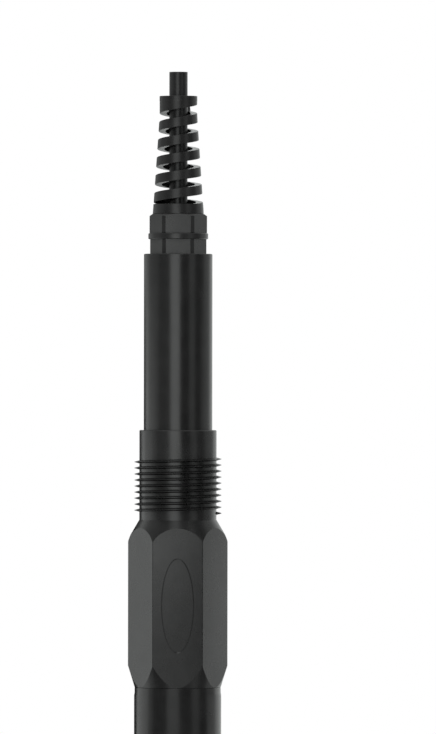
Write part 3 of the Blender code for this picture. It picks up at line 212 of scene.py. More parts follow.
def glow(name, strengths):
    """An emission whose strength changes smoothly from height to height."""
    material = bpy.data.materials.new(name)
    material.use_nodes = True
    tree = material.node_tree
    tree.nodes.clear()
    output = node_at(tree, "ShaderNodeOutputMaterial", (400, 0))
    emission = node_at(tree, "ShaderNodeEmission", (200, 0))
    emission.inputs["Strength"].default_value = FULL_GLOW
    tree.links.new(emission.outputs["Emission"], output.inputs["Surface"])
    place = node_at(tree, "ShaderNodeTexCoord", (-700, 0))
    axes = node_at(tree, "ShaderNodeSeparateXYZ", (-500, 0))
    level = node_at(tree, "ShaderNodeMapRange", (-300, 0))
    level.inputs["From Max"].default_value = PANEL_TOP
    ramp = node_at(tree, "ShaderNodeValToRGB", (-100, 0))
    ramp.color_ramp.interpolation = "EASE"
    stops = ramp.color_ramp.elements
    stops.remove(stops[1])
    for number, (height, strength) in enumerate(zip(PANEL_HEIGHTS, strengths)):
        stop = stops.new(height / PANEL_TOP) if number else stops[0]
        stop.position = height / PANEL_TOP
        share = strength / FULL_GLOW
        stop.color = (*(share * part for part in CLOTH_TINT), 1.0)
    tree.links.new(place.outputs["Object"], axes.inputs["Vector"])
    tree.links.new(axes.outputs["Z"], level.inputs["Value"])
    tree.links.new(level.outputs["Result"], ramp.inputs["Fac"])
    tree.links.new(ramp.outputs["Color"], emission.inputs["Color"])
    return material


def panel(name, start, end, strengths):
    """An upright strip of a drum: a line spun between two angles from the camera's side."""
    bpy.ops.mesh.primitive_plane_add(size=1.0)
    strip = bpy.context.object
    strip.name = strip.data.name = name
    first = math.radians(start)
    bpy.ops.object.mode_set(mode="EDIT")
    bpy.ops.mesh.merge(type="CENTER")
    place = (PANEL_RADIUS * math.sin(first), -PANEL_RADIUS * math.cos(first), 0.0)
    bpy.ops.transform.translate(value=place)
    bpy.ops.mesh.extrude_region_move(TRANSFORM_OT_translate={"value": (0.0, 0.0, PANEL_TOP)})
    bpy.ops.mesh.select_all(action="SELECT")
    sweep = math.radians(start - end)
    bpy.ops.mesh.spin(steps=PANEL_STEPS, angle=sweep, center=(0, 0, 0), axis=(0, 0, 1))
    bpy.ops.object.mode_set(mode="OBJECT")
    strip.data.materials.append(glow(name, strengths))
    for hidden in ("visible_camera", "visible_diffuse", "visible_transmission", "visible_shadow"):
        setattr(strip, hidden, False)
    strip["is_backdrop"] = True
    return strip


for panel_facts in PANELS:
    made = panel(*panel_facts)
    middle = made.data.vertices[len(made.data.vertices) // 2].co
    print(made.name, "angle", round(math.degrees(math.atan2(middle.x, -middle.y))))

# %% [markdown]
# ## The floor
#
# The sensor stands on a plain pale floor. It is outside the photograph, and other views show it.

# %% Floor
FLOOR_RADIUS = 1.6
FLOOR_FACETS = 96
FLOOR_TONE = (0.86, 0.86, 0.86, 1.0)
FLOOR_ROUGHNESS = 0.9
FLOOR_SHINE = 0.1

bpy.ops.mesh.primitive_circle_add(vertices=FLOOR_FACETS, radius=FLOOR_RADIUS, fill_type="NGON")
floor = bpy.context.object
floor.name = "floor"
floor_material = bpy.data.materials.new("floor_paper")
floor_material.use_nodes = True
floor_shader = floor_material.node_tree.nodes["Principled BSDF"]
floor_shader.inputs["Base Color"].default_value = FLOOR_TONE
floor_shader.inputs["Roughness"].default_value = FLOOR_ROUGHNESS
floor_shader.inputs["Specular IOR Level"].default_value = FLOOR_SHINE
floor.data.materials.append(floor_material)
floor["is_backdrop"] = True
print("Floor", FLOOR_RADIUS * 2, "m across")

# %% [markdown]
# ## Tools for the new pieces
#
# Most of the sensor is turned on a lathe or moulded round, so one helper pulls a ring of points out along
# an outline of radius and height. Others apply a modifier, cut or join two meshes, round the edges and
# shade the result.

# %% Modelling helpers
FACETS = 120
SMALL_FACETS = 72
ELECTRODE_FACETS = 64
MERGE = 0.000001


def start_piece(name):
    """Name the mesh that was just added, and go into edit mode."""
    piece = bpy.context.object
    piece.name = name
    piece.data.name = name
    bpy.ops.object.mode_set(mode="EDIT")
    return piece


def end_piece(piece):
    """Merge doubles, turn the faces outwards and keep the place in the mesh."""
    bpy.ops.mesh.select_all(action="SELECT")
    bpy.ops.mesh.remove_doubles(threshold=MERGE)
    bpy.ops.mesh.normals_make_consistent(inside=False)
    bpy.ops.object.mode_set(mode="OBJECT")
    bpy.ops.object.transform_apply(location=True, rotation=True, scale=True)
    return piece


def pick(piece, kind, wanted):
    """Go into edit mode with only the wanted vertices or edges selected."""
    bpy.ops.object.mode_set(mode="EDIT")
    bpy.ops.mesh.select_mode(type=kind)
    bpy.ops.mesh.select_all(action="DESELECT")
    bpy.ops.object.mode_set(mode="OBJECT")
    for item in piece.data.vertices if kind == "VERT" else piece.data.edges:
        item.select = wanted(item)
    bpy.ops.object.mode_set(mode="EDIT")


def span(piece, edge):
    """How far an edge reaches along each axis."""
    start, end = (piece.data.vertices[index].co for index in edge.vertices)
    return [abs(difference) for difference in end - start]


def turned(name, outline, closed=True, facets=FACETS):
    """Pull a ring out along an outline of (radius, height): down the outer side, up the inner one."""
    bpy.ops.mesh.primitive_circle_add(vertices=facets, radius=outline[0][0], location=(0, 0, outline[0][1]))
    piece = start_piece(name)
    following = [*outline[1:], outline[0]] if closed else outline[1:]
    for (old_radius, old_height), (radius, height) in zip(outline, following):
        bpy.ops.mesh.extrude_region_move(TRANSFORM_OT_translate={"value": (0, 0, height - old_height)})
        share = radius / old_radius
        bpy.ops.transform.resize(value=(share, share, 1), center_override=(0, 0, 0))
    if not closed:
        bpy.ops.mesh.select_all(action="SELECT")
        bpy.ops.mesh.fill_holes(sides=facets)
    return end_piece(piece)


def apply(piece, modifier):
    """Apply one modifier of a piece."""
    bpy.context.view_layer.objects.active = piece
    bpy.ops.object.modifier_apply(modifier=modifier.name)


def combine(piece, tool, operation):
    """Join, cut or intersect a piece with a tool, which is used up."""
    boolean = piece.modifiers.new(operation.lower(), "BOOLEAN")
    boolean.operation = operation
    boolean.solver = "MANIFOLD"
    boolean.object = tool
    apply(piece, boolean)
    bpy.data.objects.remove(tool)


def rounded(piece, width, segments=2, angle=35):
    """Round the edges that are sharper than an angle."""
    bevel = piece.modifiers.new("rounded_edges", "BEVEL")
    bevel.width = width
    bevel.segments = segments
    bevel.limit_method = "ANGLE"
    bevel.angle_limit = math.radians(angle)
    apply(piece, bevel)


def shaded(piece, angle=30):
    """Shade a piece smooth between its edges, and keep large flat faces flat beside small round ones."""
    bpy.ops.object.select_all(action="DESELECT")
    piece.select_set(True)
    bpy.context.view_layer.objects.active = piece
    bpy.ops.object.shade_smooth_by_angle(angle=math.radians(angle))
    weighted = piece.modifiers.new("flat_faces", "WEIGHTED_NORMAL")
    weighted.mode = "FACE_AREA"
    weighted.keep_sharp = True
    apply(piece, weighted)


def hexagon_bar(name, across_flats, bottom, top, edge, segments=1):
    """A hexagonal bar with a flat to the front. One segment cuts its corners, and more round them."""
    bpy.ops.mesh.primitive_cylinder_add(
        vertices=6,
        radius=across_flats / math.sqrt(3),
        depth=top - bottom,
        location=(0, 0, (bottom + top) / 2),
        rotation=(0, 0, math.radians(30)),
    )
    bar = start_piece(name)
    pick(bar, "EDGE", lambda upright: span(bar, upright)[2] > MERGE)
    bpy.ops.mesh.bevel(offset=edge * math.tan(math.radians(30)), segments=segments)
    return end_piece(bar)


def thread_ridge(name, root, crest, base_width, crest_width, pitch, turns, bottom, facets=FACETS):
    """The ridge of a right-handed thread: a flat section screwed up round the axis, closed at its ends."""
    bpy.ops.mesh.primitive_plane_add(size=1.0, rotation=(math.pi / 2, 0, 0))
    ridge = start_piece(name)
    bpy.ops.transform.resize(value=(crest - root, 1, base_width), center_override=(0, 0, 0))
    bpy.ops.transform.translate(value=((crest + root) / 2, 0, 0))
    bpy.ops.object.mode_set(mode="OBJECT")
    bpy.ops.object.transform_apply(location=True, rotation=True, scale=True)
    pick(ridge, "VERT", lambda vertex: vertex.co.x > (crest + root) / 2)
    bpy.ops.transform.resize(value=(1, 1, crest_width / base_width), center_override=(crest, 0, 0))
    bpy.ops.mesh.select_all(action="SELECT")
    bpy.ops.mesh.delete(type="ONLY_FACE")
    bpy.ops.mesh.select_all(action="SELECT")
    bpy.ops.transform.translate(value=(0, 0, bottom))
    bpy.ops.object.mode_set(mode="OBJECT")
    screw = ridge.modifiers.new("turns", "SCREW")
    screw.screw_offset = pitch
    screw.iterations = turns
    screw.steps = facets
    screw.render_steps = facets
    apply(ridge, screw)
    bpy.ops.object.mode_set(mode="EDIT")
    bpy.ops.mesh.select_all(action="SELECT")
    bpy.ops.mesh.fill_holes(sides=4)
    return end_piece(ridge)


def done(piece, slot, body, *nodes, angle=30):
    """Shade a finished piece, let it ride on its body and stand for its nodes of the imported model."""
    shaded(piece, angle)
    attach(piece, body)
    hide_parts(*nodes)
    open_edges = sum(1 for count in edge_uses(piece.data) if count != 2)
    print(piece.name, "faces", len(piece.data.polygons), "open edges", open_edges)


def edge_uses(mesh):
    """How many faces use each edge."""
    uses = [0] * len(mesh.edges)
    for loop in mesh.loops:
        uses[loop.edge_index] += 1
    return uses


print("Turned pieces have", FACETS, "facets")

# %% [markdown]
# ## Heights and sizes
#
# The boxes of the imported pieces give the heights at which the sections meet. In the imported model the
# pieces stand a little apart. On the real sensor they touch, and only a thin dark line shows, so the new
# pieces close those gaps down to a seam.

# %% Heights where the sections meet
SEAM = 0.00003
HEXAGON_LENGTH = 0.0502
GAP = 0.0003

TUBE_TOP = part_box("rear_tube")[1].z
COLLAR_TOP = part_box("main_body")[1].z
SLEEVE_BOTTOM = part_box("front_sleeve")[0].z
HEXAGON_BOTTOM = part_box("front_sleeve")[1].z + GAP
HEXAGON_TOP = HEXAGON_BOTTOM + HEXAGON_LENGTH
SPIGOT_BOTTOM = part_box("main_body")[0].z
FLANGE_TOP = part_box("gland_nut")[0].z - GAP
BOOT_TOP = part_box("gland_nut")[1].z
print("Hexagon from", round(HEXAGON_BOTTOM * 1000, 2), "to", round(HEXAGON_TOP * 1000, 2), "mm")
print("Collar's top at", round(COLLAR_TOP * 1000, 2), "and tube's top at", round(TUBE_TOP * 1000, 2), "mm")

# %% [markdown]
# ## The front sleeve, the rear tube and the guard
#
# These are plain turned tubes. Their fine chamfers catch the light, so they are part of the outlines, and
# the turned edges are then rounded a little. The guard is a tube with a rim that narrows at the tip.

# %% Front sleeve
SLEEVE_RADIUS = 0.0131
SLEEVE_BORE = 0.0112
RELIEF_RADIUS = 0.01295
RELIEF_LENGTH = 0.0017
RELIEF_RAMP = 0.0008
SLEEVE_CHAMFER = 0.0003
SLEEVE_EDGE = 0.00008

sleeve_top = HEXAGON_BOTTOM - SEAM
front_sleeve = turned(
    "front_sleeve_shell",
    [
        (RELIEF_RADIUS - SLEEVE_CHAMFER / 2, sleeve_top),
        (RELIEF_RADIUS, sleeve_top - SLEEVE_CHAMFER / 2),
        (RELIEF_RADIUS, sleeve_top - RELIEF_LENGTH),
        (SLEEVE_RADIUS, sleeve_top - RELIEF_LENGTH - RELIEF_RAMP),
        (SLEEVE_RADIUS, SLEEVE_BOTTOM + SLEEVE_CHAMFER),
        (SLEEVE_RADIUS - SLEEVE_CHAMFER, SLEEVE_BOTTOM),
        (SLEEVE_BORE, SLEEVE_BOTTOM),
        (SLEEVE_BORE, sleeve_top),
    ],
)
rounded(front_sleeve, SLEEVE_EDGE)
done(front_sleeve, "housing_plastic", "housing", "front_sleeve")

# %% Rear tube
TUBE_RADIUS = 0.0103
TUBE_BORE = 0.0083
TUBE_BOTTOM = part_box("rear_tube")[0].z
TUBE_END_WALL = 0.0060
TUBE_CHAMFER = 0.0002
TUBE_EDGE = 0.00006
GLAND_HOLE_RADIUS = 0.0063
WASHER_SEAT_RADIUS = 0.0073
WASHER_SEAT_DEPTH = 0.0015

rear_tube = turned(
    "rear_tube_shell",
    [
        (TUBE_RADIUS - TUBE_CHAMFER, TUBE_TOP),
        (TUBE_RADIUS, TUBE_TOP - TUBE_CHAMFER),
        (TUBE_RADIUS, TUBE_BOTTOM),
        (TUBE_BORE, TUBE_BOTTOM),
        (TUBE_BORE, TUBE_TOP - TUBE_END_WALL),
        (GLAND_HOLE_RADIUS, TUBE_TOP - TUBE_END_WALL),
        (GLAND_HOLE_RADIUS, TUBE_TOP - WASHER_SEAT_DEPTH),
        (WASHER_SEAT_RADIUS, TUBE_TOP - WASHER_SEAT_DEPTH),
        (WASHER_SEAT_RADIUS, TUBE_TOP),
    ],
)
rounded(rear_tube, TUBE_EDGE)
done(rear_tube, "housing_plastic", "housing", "rear_tube")

# %% [markdown]
# The guard's four windows are cut with one upright slot shape, turned by a quarter each time. The slot is
# a block whose ends are rounded by beveling its four short edges until they meet.

# %% Guard
GUARD_BORE = 0.0112
GUARD_RIM_RADIUS = 0.0090
GUARD_RIM_THICKNESS = 0.0030
GUARD_CHAMFER = 0.0010
GUARD_EDGE = 0.00015
WINDOW_WIDTH = 0.0105
WINDOW_BOTTOM = 0.0090
WINDOW_TOP = 0.0470
WINDOWS = 4
WINDOW_START = 0.004
WINDOW_END_SEGMENTS = 16


def window_cutter(turn):
    """An upright slot with half-round ends, reaching out from the axis."""
    bpy.ops.mesh.primitive_cube_add(size=1.0)
    cutter = start_piece("window_cutter")
    height = WINDOW_TOP - WINDOW_BOTTOM
    reach = 2 * SLEEVE_RADIUS
    bpy.ops.transform.resize(value=(reach, WINDOW_WIDTH, height), center_override=(0, 0, 0))
    bpy.ops.transform.translate(value=(reach / 2 + WINDOW_START, 0, WINDOW_BOTTOM + height / 2))
    pick(cutter, "EDGE", lambda edge: span(cutter, edge)[0] > MERGE)
    bpy.ops.mesh.bevel(offset=WINDOW_WIDTH / 2 - MERGE, segments=WINDOW_END_SEGMENTS)
    bpy.ops.mesh.select_all(action="SELECT")
    bpy.ops.transform.rotate(value=-turn, orient_axis="Z", center_override=(0, 0, 0))
    return end_piece(cutter)


guard_top = SLEEVE_BOTTOM - SEAM
guard = turned(
    "guard_shell",
    [
        (SLEEVE_RADIUS - SLEEVE_CHAMFER, guard_top),
        (SLEEVE_RADIUS, guard_top - SLEEVE_CHAMFER),
        (SLEEVE_RADIUS, GUARD_CHAMFER),
        (SLEEVE_RADIUS - GUARD_CHAMFER, 0.0),
        (GUARD_RIM_RADIUS, 0.0),
        (GUARD_RIM_RADIUS, GUARD_RIM_THICKNESS),
        (GUARD_BORE, GUARD_RIM_THICKNESS + GUARD_BORE - GUARD_RIM_RADIUS),
        (GUARD_BORE, guard_top),
    ],
)
rounded(guard, GUARD_EDGE)
for window in range(WINDOWS):
    combine(guard, window_cutter(2 * math.pi * window / WINDOWS), "DIFFERENCE")
done(guard, "housing_plastic", "housing", "protective_guard")

# %% [markdown]
# ## The main body
#
# The hexagon starts as a turned shape, domed at the top and coned at the bottom. A hexagonal bar with
# rounded corners cuts the flats, which gives them their arched ends. The round stem with the collar and the
# thread's ridge are joined to it, and the bore and the shallow oval recess are cut last.

# %% Hexagon
HEXAGON_ACROSS_FLATS = 0.0260
HEXAGON_CORNER = HEXAGON_ACROSS_FLATS / math.sqrt(3)
HEXAGON_EDGE_RADIUS = 0.0003
HEXAGON_EDGE_SEGMENTS = 8
BAR_OVERRUN = 0.001
DOME_HEIGHT = 0.0043
DOME_ROUNDING = 0.0025
DOME_BULGE = 0.00007
DOME_SHOULDER_RADIUS = 0.01415
LOWER_CONE_HEIGHT = 0.0067
COLLAR_RADIUS = 0.0116
DOME_STEPS = 10

shoulder = HEXAGON_TOP - DOME_HEIGHT
dome = [(COLLAR_RADIUS + SEAM, HEXAGON_TOP), (DOME_SHOULDER_RADIUS, shoulder)]
reach = HEXAGON_CORNER + SEAM - DOME_SHOULDER_RADIUS
for step in range(1, DOME_STEPS + 1):
    share = step / DOME_STEPS
    bulge = 4 * DOME_BULGE * share * (1 - share)
    dome.append((DOME_SHOULDER_RADIUS + reach * share + bulge, shoulder - DOME_ROUNDING * share))
dome += [
    (HEXAGON_CORNER + SEAM, HEXAGON_BOTTOM + LOWER_CONE_HEIGHT),
    (HEXAGON_ACROSS_FLATS / 2 - SEAM, HEXAGON_BOTTOM),
]
main_body = turned("main_body_shell", dome, closed=False)
bar = hexagon_bar(
    "flats",
    HEXAGON_ACROSS_FLATS,
    HEXAGON_BOTTOM - BAR_OVERRUN,
    HEXAGON_TOP + BAR_OVERRUN,
    HEXAGON_EDGE_RADIUS,
    segments=HEXAGON_EDGE_SEGMENTS,
)
combine(main_body, bar, "INTERSECT")
print("Hexagon", round(HEXAGON_ACROSS_FLATS * 1000, 1), "mm across its flats")

# %% [markdown]
# The thread is a G3/4 pipe thread, 14 turns to the inch. The photograph shows its ridges steep and narrow,
# so they are drawn that way. The ridge is sunk a little into the stem so that the two join cleanly.

# %% Stem and thread
THREAD_CREST = 0.0131
THREAD_PITCH = 0.001814
THREAD_TURNS = 9
THREAD_START = 0.0020
THREAD_CREST_WIDTH = 0.00012
THREAD_ROOT_WIDTH = 0.0008
SUNK = 0.0001
COLLAR_CHAMFER = 0.0002
SPIGOT_RADIUS = 0.0109

stem = turned(
    "stem",
    [
        (COLLAR_RADIUS - COLLAR_CHAMFER, COLLAR_TOP),
        (COLLAR_RADIUS, COLLAR_TOP - COLLAR_CHAMFER),
        (COLLAR_RADIUS, (HEXAGON_TOP + HEXAGON_BOTTOM) / 2),
        (SPIGOT_RADIUS, (HEXAGON_TOP + HEXAGON_BOTTOM) / 2),
        (SPIGOT_RADIUS, SPIGOT_BOTTOM),
    ],
    closed=False,
)
ridge = thread_ridge(
    "ridge",
    COLLAR_RADIUS - SUNK,
    THREAD_CREST,
    THREAD_PITCH - THREAD_ROOT_WIDTH,
    THREAD_CREST_WIDTH,
    THREAD_PITCH,
    THREAD_TURNS,
    HEXAGON_TOP + THREAD_START,
)
combine(stem, ridge, "UNION")
combine(main_body, stem, "UNION")
print("Thread", THREAD_TURNS, "turns at", THREAD_PITCH * 1000, "mm")

# %% Bore
SOCKET_RADIUS = 0.0106
SOCKET_FLOOR = TUBE_BOTTOM - GAP
BOARD_BORE = 0.0081
BOARD_LEDGE = 0.1143
THROAT_RADIUS = 0.0067
THROUGH = 0.002

bore = turned(
    "bore",
    [
        (SOCKET_RADIUS, COLLAR_TOP + THROUGH),
        (SOCKET_RADIUS, SOCKET_FLOOR),
        (BOARD_BORE, SOCKET_FLOOR),
        (BOARD_BORE, BOARD_LEDGE),
        (THROAT_RADIUS, BOARD_LEDGE),
        (THROAT_RADIUS, SPIGOT_BOTTOM - THROUGH),
    ],
    closed=False,
)
combine(main_body, bore, "DIFFERENCE")

# %% [markdown]
# The oval recess is a shallow pocket in the front flat. Two round discs, stretched to ovals, cut it. The
# second is shallower and widens outwards, so that the pocket has a fine sloping rim.

# %% Oval recess
OVAL_WIDTH = 0.0099
OVAL_HEIGHT = 0.0284
OVAL_DEPTH = 0.0003
OVAL_RIM_WIDTH = 0.00028
OVAL_RIM_DEPTH = 0.00014
OVAL_CENTRE = HEXAGON_TOP - 0.0255


def oval_disc(name, shrink, depth, grow):
    """An oval disc through the front flat, smaller by a shrink, whose outer face grows again."""
    bpy.ops.mesh.primitive_cylinder_add(
        vertices=FACETS, radius=0.5, depth=2 * depth, rotation=(math.pi / 2, 0, 0)
    )
    disc = start_piece(name)
    width = OVAL_WIDTH - 2 * shrink
    height = OVAL_HEIGHT - 2 * shrink
    bpy.ops.transform.resize(value=(width, 1, height), center_override=(0, 0, 0))
    bpy.ops.object.mode_set(mode="OBJECT")
    bpy.ops.object.transform_apply(location=True, rotation=True, scale=True)
    pick(disc, "VERT", lambda vertex: vertex.co.y < 0)
    bpy.ops.transform.resize(
        value=((width + 2 * grow) / width, 1, (height + 2 * grow) / height), center_override=(0, 0, 0)
    )
    bpy.ops.mesh.select_all(action="SELECT")
    bpy.ops.transform.translate(value=(0, -HEXAGON_ACROSS_FLATS / 2, OVAL_CENTRE))
    return end_piece(disc)


combine(main_body, oval_disc("oval_floor", OVAL_RIM_WIDTH, OVAL_DEPTH, 0.0), "DIFFERENCE")
combine(main_body, oval_disc("oval_rim", OVAL_RIM_WIDTH, OVAL_RIM_DEPTH, 2 * OVAL_RIM_WIDTH), "DIFFERENCE")
done(main_body, "housing_plastic", "housing", "main_body", angle=11)

# %% [markdown]
# ## The cable gland
#
# The gland's body has a small hexagon and a round flange that is seen under the nut. Above it stand a short
# M12 thread and six fingers, which the nut presses onto the cable. They show when the nut is unscrewed. The
# photograph has dark bands at the corners of this hexagon and of the nut's, so a narrow face cuts each
# corner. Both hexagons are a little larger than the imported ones, which keeps the width over the corners.

# %% Gland body
GLAND_ACROSS_FLATS = 0.0153
GLAND_EDGE_WIDTH = 0.0013
FLANGE_RADIUS = 0.0090
FLANGE_HEIGHT = 0.0018
FLANGE_ROUNDING = 0.0003
FLANGE_SEGMENTS = 4
GLAND_FACETS = 96
GLAND_ROOT = 0.00508
GLAND_CREST = 0.0060
GLAND_PITCH = 0.0015
GLAND_TURNS = 2
GLAND_ROOT_GAP = 0.0001
GLAND_CREST_WIDTH = 0.00019
GLAND_NECK = 0.0050
GLAND_RELIEF = 0.0054
GLAND_LEAD_IN = 0.0006
GLAND_STEM_LENGTH = 0.0070
FINGER_LENGTH = 0.0031
FINGER_TIP_INSET = 0.0006
FINGER_SLOTS = 6
FINGER_SLOT_WIDTH = 0.0007
FINGER_ROOT = 0.0006
SEAL_BORE = 0.00405
SEAL_SEAT = 0.0006

flange_bottom = FLANGE_TOP - FLANGE_HEIGHT
neck_top = FLANGE_TOP + GLAND_NECK
finger_tip = neck_top + FINGER_LENGTH
stem_bottom = TUBE_TOP - GLAND_STEM_LENGTH
gland = turned(
    "gland_body_shell",
    [
        (GLAND_ROOT - FINGER_TIP_INSET, finger_tip),
        (GLAND_ROOT, neck_top),
        (GLAND_ROOT, FLANGE_TOP),
        (FLANGE_RADIUS, FLANGE_TOP),
        (FLANGE_RADIUS, flange_bottom),
        (GLAND_RELIEF, flange_bottom),
        (GLAND_RELIEF, TUBE_TOP - WASHER_SEAT_DEPTH),
        (GLAND_CREST, TUBE_TOP - WASHER_SEAT_DEPTH - GLAND_LEAD_IN),
        (GLAND_CREST, stem_bottom),
    ],
    closed=False,
    facets=GLAND_FACETS,
)
rounded(gland, FLANGE_ROUNDING, segments=FLANGE_SEGMENTS)
gland_bar = hexagon_bar(
    "gland_flats",
    GLAND_ACROSS_FLATS,
    TUBE_TOP + SEAM,
    FLANGE_TOP - FLANGE_HEIGHT / 2,
    GLAND_EDGE_WIDTH,
)
combine(gland, gland_bar, "UNION")
gland_ridge = thread_ridge(
    "gland_ridge",
    GLAND_ROOT - SUNK,
    GLAND_CREST,
    GLAND_PITCH - GLAND_ROOT_GAP,
    GLAND_CREST_WIDTH,
    GLAND_PITCH,
    GLAND_TURNS,
    FLANGE_TOP + (GLAND_NECK - GLAND_TURNS * GLAND_PITCH) / 2,
    facets=SMALL_FACETS,
)
combine(gland, gland_ridge, "UNION")
gland_bore = turned(
    "gland_bore",
    [
        (SEAL_BORE, finger_tip + THROUGH),
        (SEAL_BORE, FLANGE_TOP),
        (SEAL_BORE - SEAL_SEAT, FLANGE_TOP),
        (SEAL_BORE - SEAL_SEAT, stem_bottom - THROUGH),
    ],
    closed=False,
    facets=SMALL_FACETS,
)
combine(gland, gland_bore, "DIFFERENCE")

# %% Slots between the fingers
SAW_LENGTH = 0.014
SAW_HEIGHT = 0.005

for slot in range(FINGER_SLOTS // 2):
    bpy.ops.mesh.primitive_cube_add(size=1.0)
    saw = start_piece("saw")
    saw_size = (SAW_LENGTH, FINGER_SLOT_WIDTH, SAW_HEIGHT)
    bpy.ops.transform.resize(value=saw_size, center_override=(0, 0, 0))
    bpy.ops.transform.translate(value=(0, 0, neck_top + FINGER_ROOT + SAW_HEIGHT / 2))
    bpy.ops.transform.rotate(
        value=-2 * math.pi * slot / FINGER_SLOTS, orient_axis="Z", center_override=(0, 0, 0)
    )
    end_piece(saw)
    combine(gland, saw, "DIFFERENCE")
done(gland, "gland_nylon", "housing", "gland_body", angle=28)

# %% [markdown]
# ## The nut and its spiral
#
# The nut, a conical ring and the spiral strain relief are moulded in one. The spiral is a band that climbs
# right-handed and narrows as it goes. Its first turn grows out of the base ring and its last turn widens
# into the top ring, so its height changes along the way. No modifier does that, so this piece alone is
# made of cross sections that are placed by a formula and joined by faces. The photograph has the top
# ring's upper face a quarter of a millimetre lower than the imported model, and so has the new piece.

# %% Spiral band
NUT_HEIGHT = 0.0058
NUT_TOP = FLANGE_TOP + NUT_HEIGHT
BASE_RING_HEIGHT = 0.0030
BOOT_BASE_RADIUS = 0.00765
BOOT_TOP_RADIUS = 0.00565
BOOT_WALL = 0.0021
BOOT_STRAIGHT = 0.0059
SPIRAL_PITCH = 0.00535
SLOT_HEIGHT = 0.0025
SLOT_END_DEPTH = 0.00335
SLOT_END = BOOT_TOP - SLOT_END_DEPTH
SLOT_END_ANGLE = math.radians(50)
TOP_RING_BOTTOM = SLOT_END + SLOT_HEIGHT / 2 + GAP
BAND_STEPS = 90
BAND_EDGE = 0.00018
BAND_EDGE_SEGMENTS = 3
BAND_EDGE_ANGLE = 50
ring_top = NUT_TOP + BASE_RING_HEIGHT


def relief_radius(level):
    """Outer radius of the strain relief at a height."""
    share = min(1.0, (level - NUT_TOP) / (BOOT_TOP - BOOT_STRAIGHT - NUT_TOP))
    return BOOT_BASE_RADIUS + (BOOT_TOP_RADIUS - BOOT_BASE_RADIUS) * share


def slot_level(turn):
    """Height of the slot's middle at an angle that counts on from turn to turn."""
    return SLOT_END + SPIRAL_PITCH * (turn - SLOT_END_ANGLE) / (2 * math.pi)


def band_points(turn, low, high):
    """The four corners of the band at one angle: inside and outside, below and above."""
    corners = []
    for level, depths in ((low, (BOOT_WALL, 0.0)), (high, (0.0, BOOT_WALL))):
        for depth in depths:
            radius = relief_radius(level) - depth
            corners.append((radius * math.cos(turn), radius * math.sin(turn), level))
    return corners


points = []
turn = SLOT_END_ANGLE
step_angle = 2 * math.pi / BAND_STEPS
while slot_level(turn + 2 * math.pi) - SLOT_HEIGHT / 2 > ring_top:
    low = max(slot_level(turn) + SLOT_HEIGHT / 2, ring_top - GAP)
    high = slot_level(turn + 2 * math.pi) - SLOT_HEIGHT / 2
    if turn > SLOT_END_ANGLE - 2 * math.pi + step_angle / 2:
        high = TOP_RING_BOTTOM + GAP
    points += band_points(turn, low, high)
    turn -= step_angle
faces = [(0, 1, 2, 3), tuple(range(len(points) - 1, len(points) - 5, -1))]
for start in range(0, len(points) - 4, 4):
    for corner in range(4):
        following = (corner + 1) % 4
        faces.append((start + corner, start + following, start + 4 + following, start + 4 + corner))
band_mesh = bpy.data.meshes.new("spiral_band")
band_mesh.from_pydata(points, [], faces)
band = bpy.data.objects.new("spiral_band", band_mesh)
bpy.context.collection.objects.link(band)
bpy.context.view_layer.objects.active = band
bpy.ops.object.mode_set(mode="EDIT")
end_piece(band)
rounded(band, BAND_EDGE, segments=BAND_EDGE_SEGMENTS, angle=BAND_EDGE_ANGLE)
print("Spiral band", len(points) // 4 - 1, "steps,", round(len(points) / 4 / BAND_STEPS, 1), "turns")

# %% Nut, base ring and top ring
NUT_ACROSS_FLATS = 0.0156
NUT_EDGE_WIDTH = 0.00125
NUT_CORNER = 0.0087
NUT_CHAMFER_WIDTH = 0.0009
NUT_CHAMFER_HEIGHT = 0.0007
NUT_BASE_EDGE = 0.0002
NUT_BORE = 0.0063
NUT_CONE_TOP = 0.0054
NUT_CONE_BOTTOM = 0.00614
NUT_CONE_RAMP = 0.00016
BASE_RING_ROOT = 0.0007
BASE_RING_EDGE = 0.00012
RING_STEP = 0.00003
CABLE_RADIUS = 0.00275
MOULDED_EDGE = 0.00015
MOULDED_EDGE_SEGMENTS = 3
TOP_RING_DROP = 0.00025

nut = turned(
    "gland_nut_shell",
    [
        (NUT_CORNER - NUT_CHAMFER_WIDTH, NUT_TOP),
        (NUT_CORNER + SEAM, NUT_TOP - NUT_CHAMFER_HEIGHT),
        (NUT_CORNER + SEAM, FLANGE_TOP + NUT_BASE_EDGE),
        (NUT_CORNER - NUT_BASE_EDGE, FLANGE_TOP + SEAM),
    ],
    closed=False,
)
nut_bar = hexagon_bar(
    "nut_flats", NUT_ACROSS_FLATS, FLANGE_TOP - BAR_OVERRUN, NUT_TOP + BAR_OVERRUN, NUT_EDGE_WIDTH
)
combine(nut, nut_bar, "INTERSECT")
ring_base = relief_radius(NUT_TOP) + RING_STEP
base_ring = turned(
    "base_ring",
    [
        (relief_radius(ring_top) + RING_STEP, ring_top),
        (ring_base, NUT_TOP + MOULDED_EDGE),
        (ring_base - BASE_RING_ROOT, NUT_TOP + MOULDED_EDGE - BASE_RING_ROOT),
    ],
    closed=False,
)
rounded(base_ring, BASE_RING_EDGE)
combine(nut, base_ring, "UNION")
cone_bottom = neck_top - GAP
ring_bore = relief_radius(ring_top) - BOOT_WALL - RING_STEP
nut_bore = turned(
    "nut_bore",
    [
        (ring_bore, ring_top + THROUGH),
        (ring_bore, ring_top),
        (NUT_CONE_TOP, ring_top - GAP),
        (NUT_CONE_BOTTOM, cone_bottom),
        (NUT_BORE, cone_bottom - NUT_CONE_RAMP),
        (NUT_BORE, FLANGE_TOP - THROUGH),
    ],
    closed=False,
)
combine(nut, nut_bore, "DIFFERENCE")
combine(nut, band, "UNION")
lip = relief_radius(BOOT_TOP) - BOOT_WALL - RING_STEP
cable_hole = CABLE_RADIUS + GAP
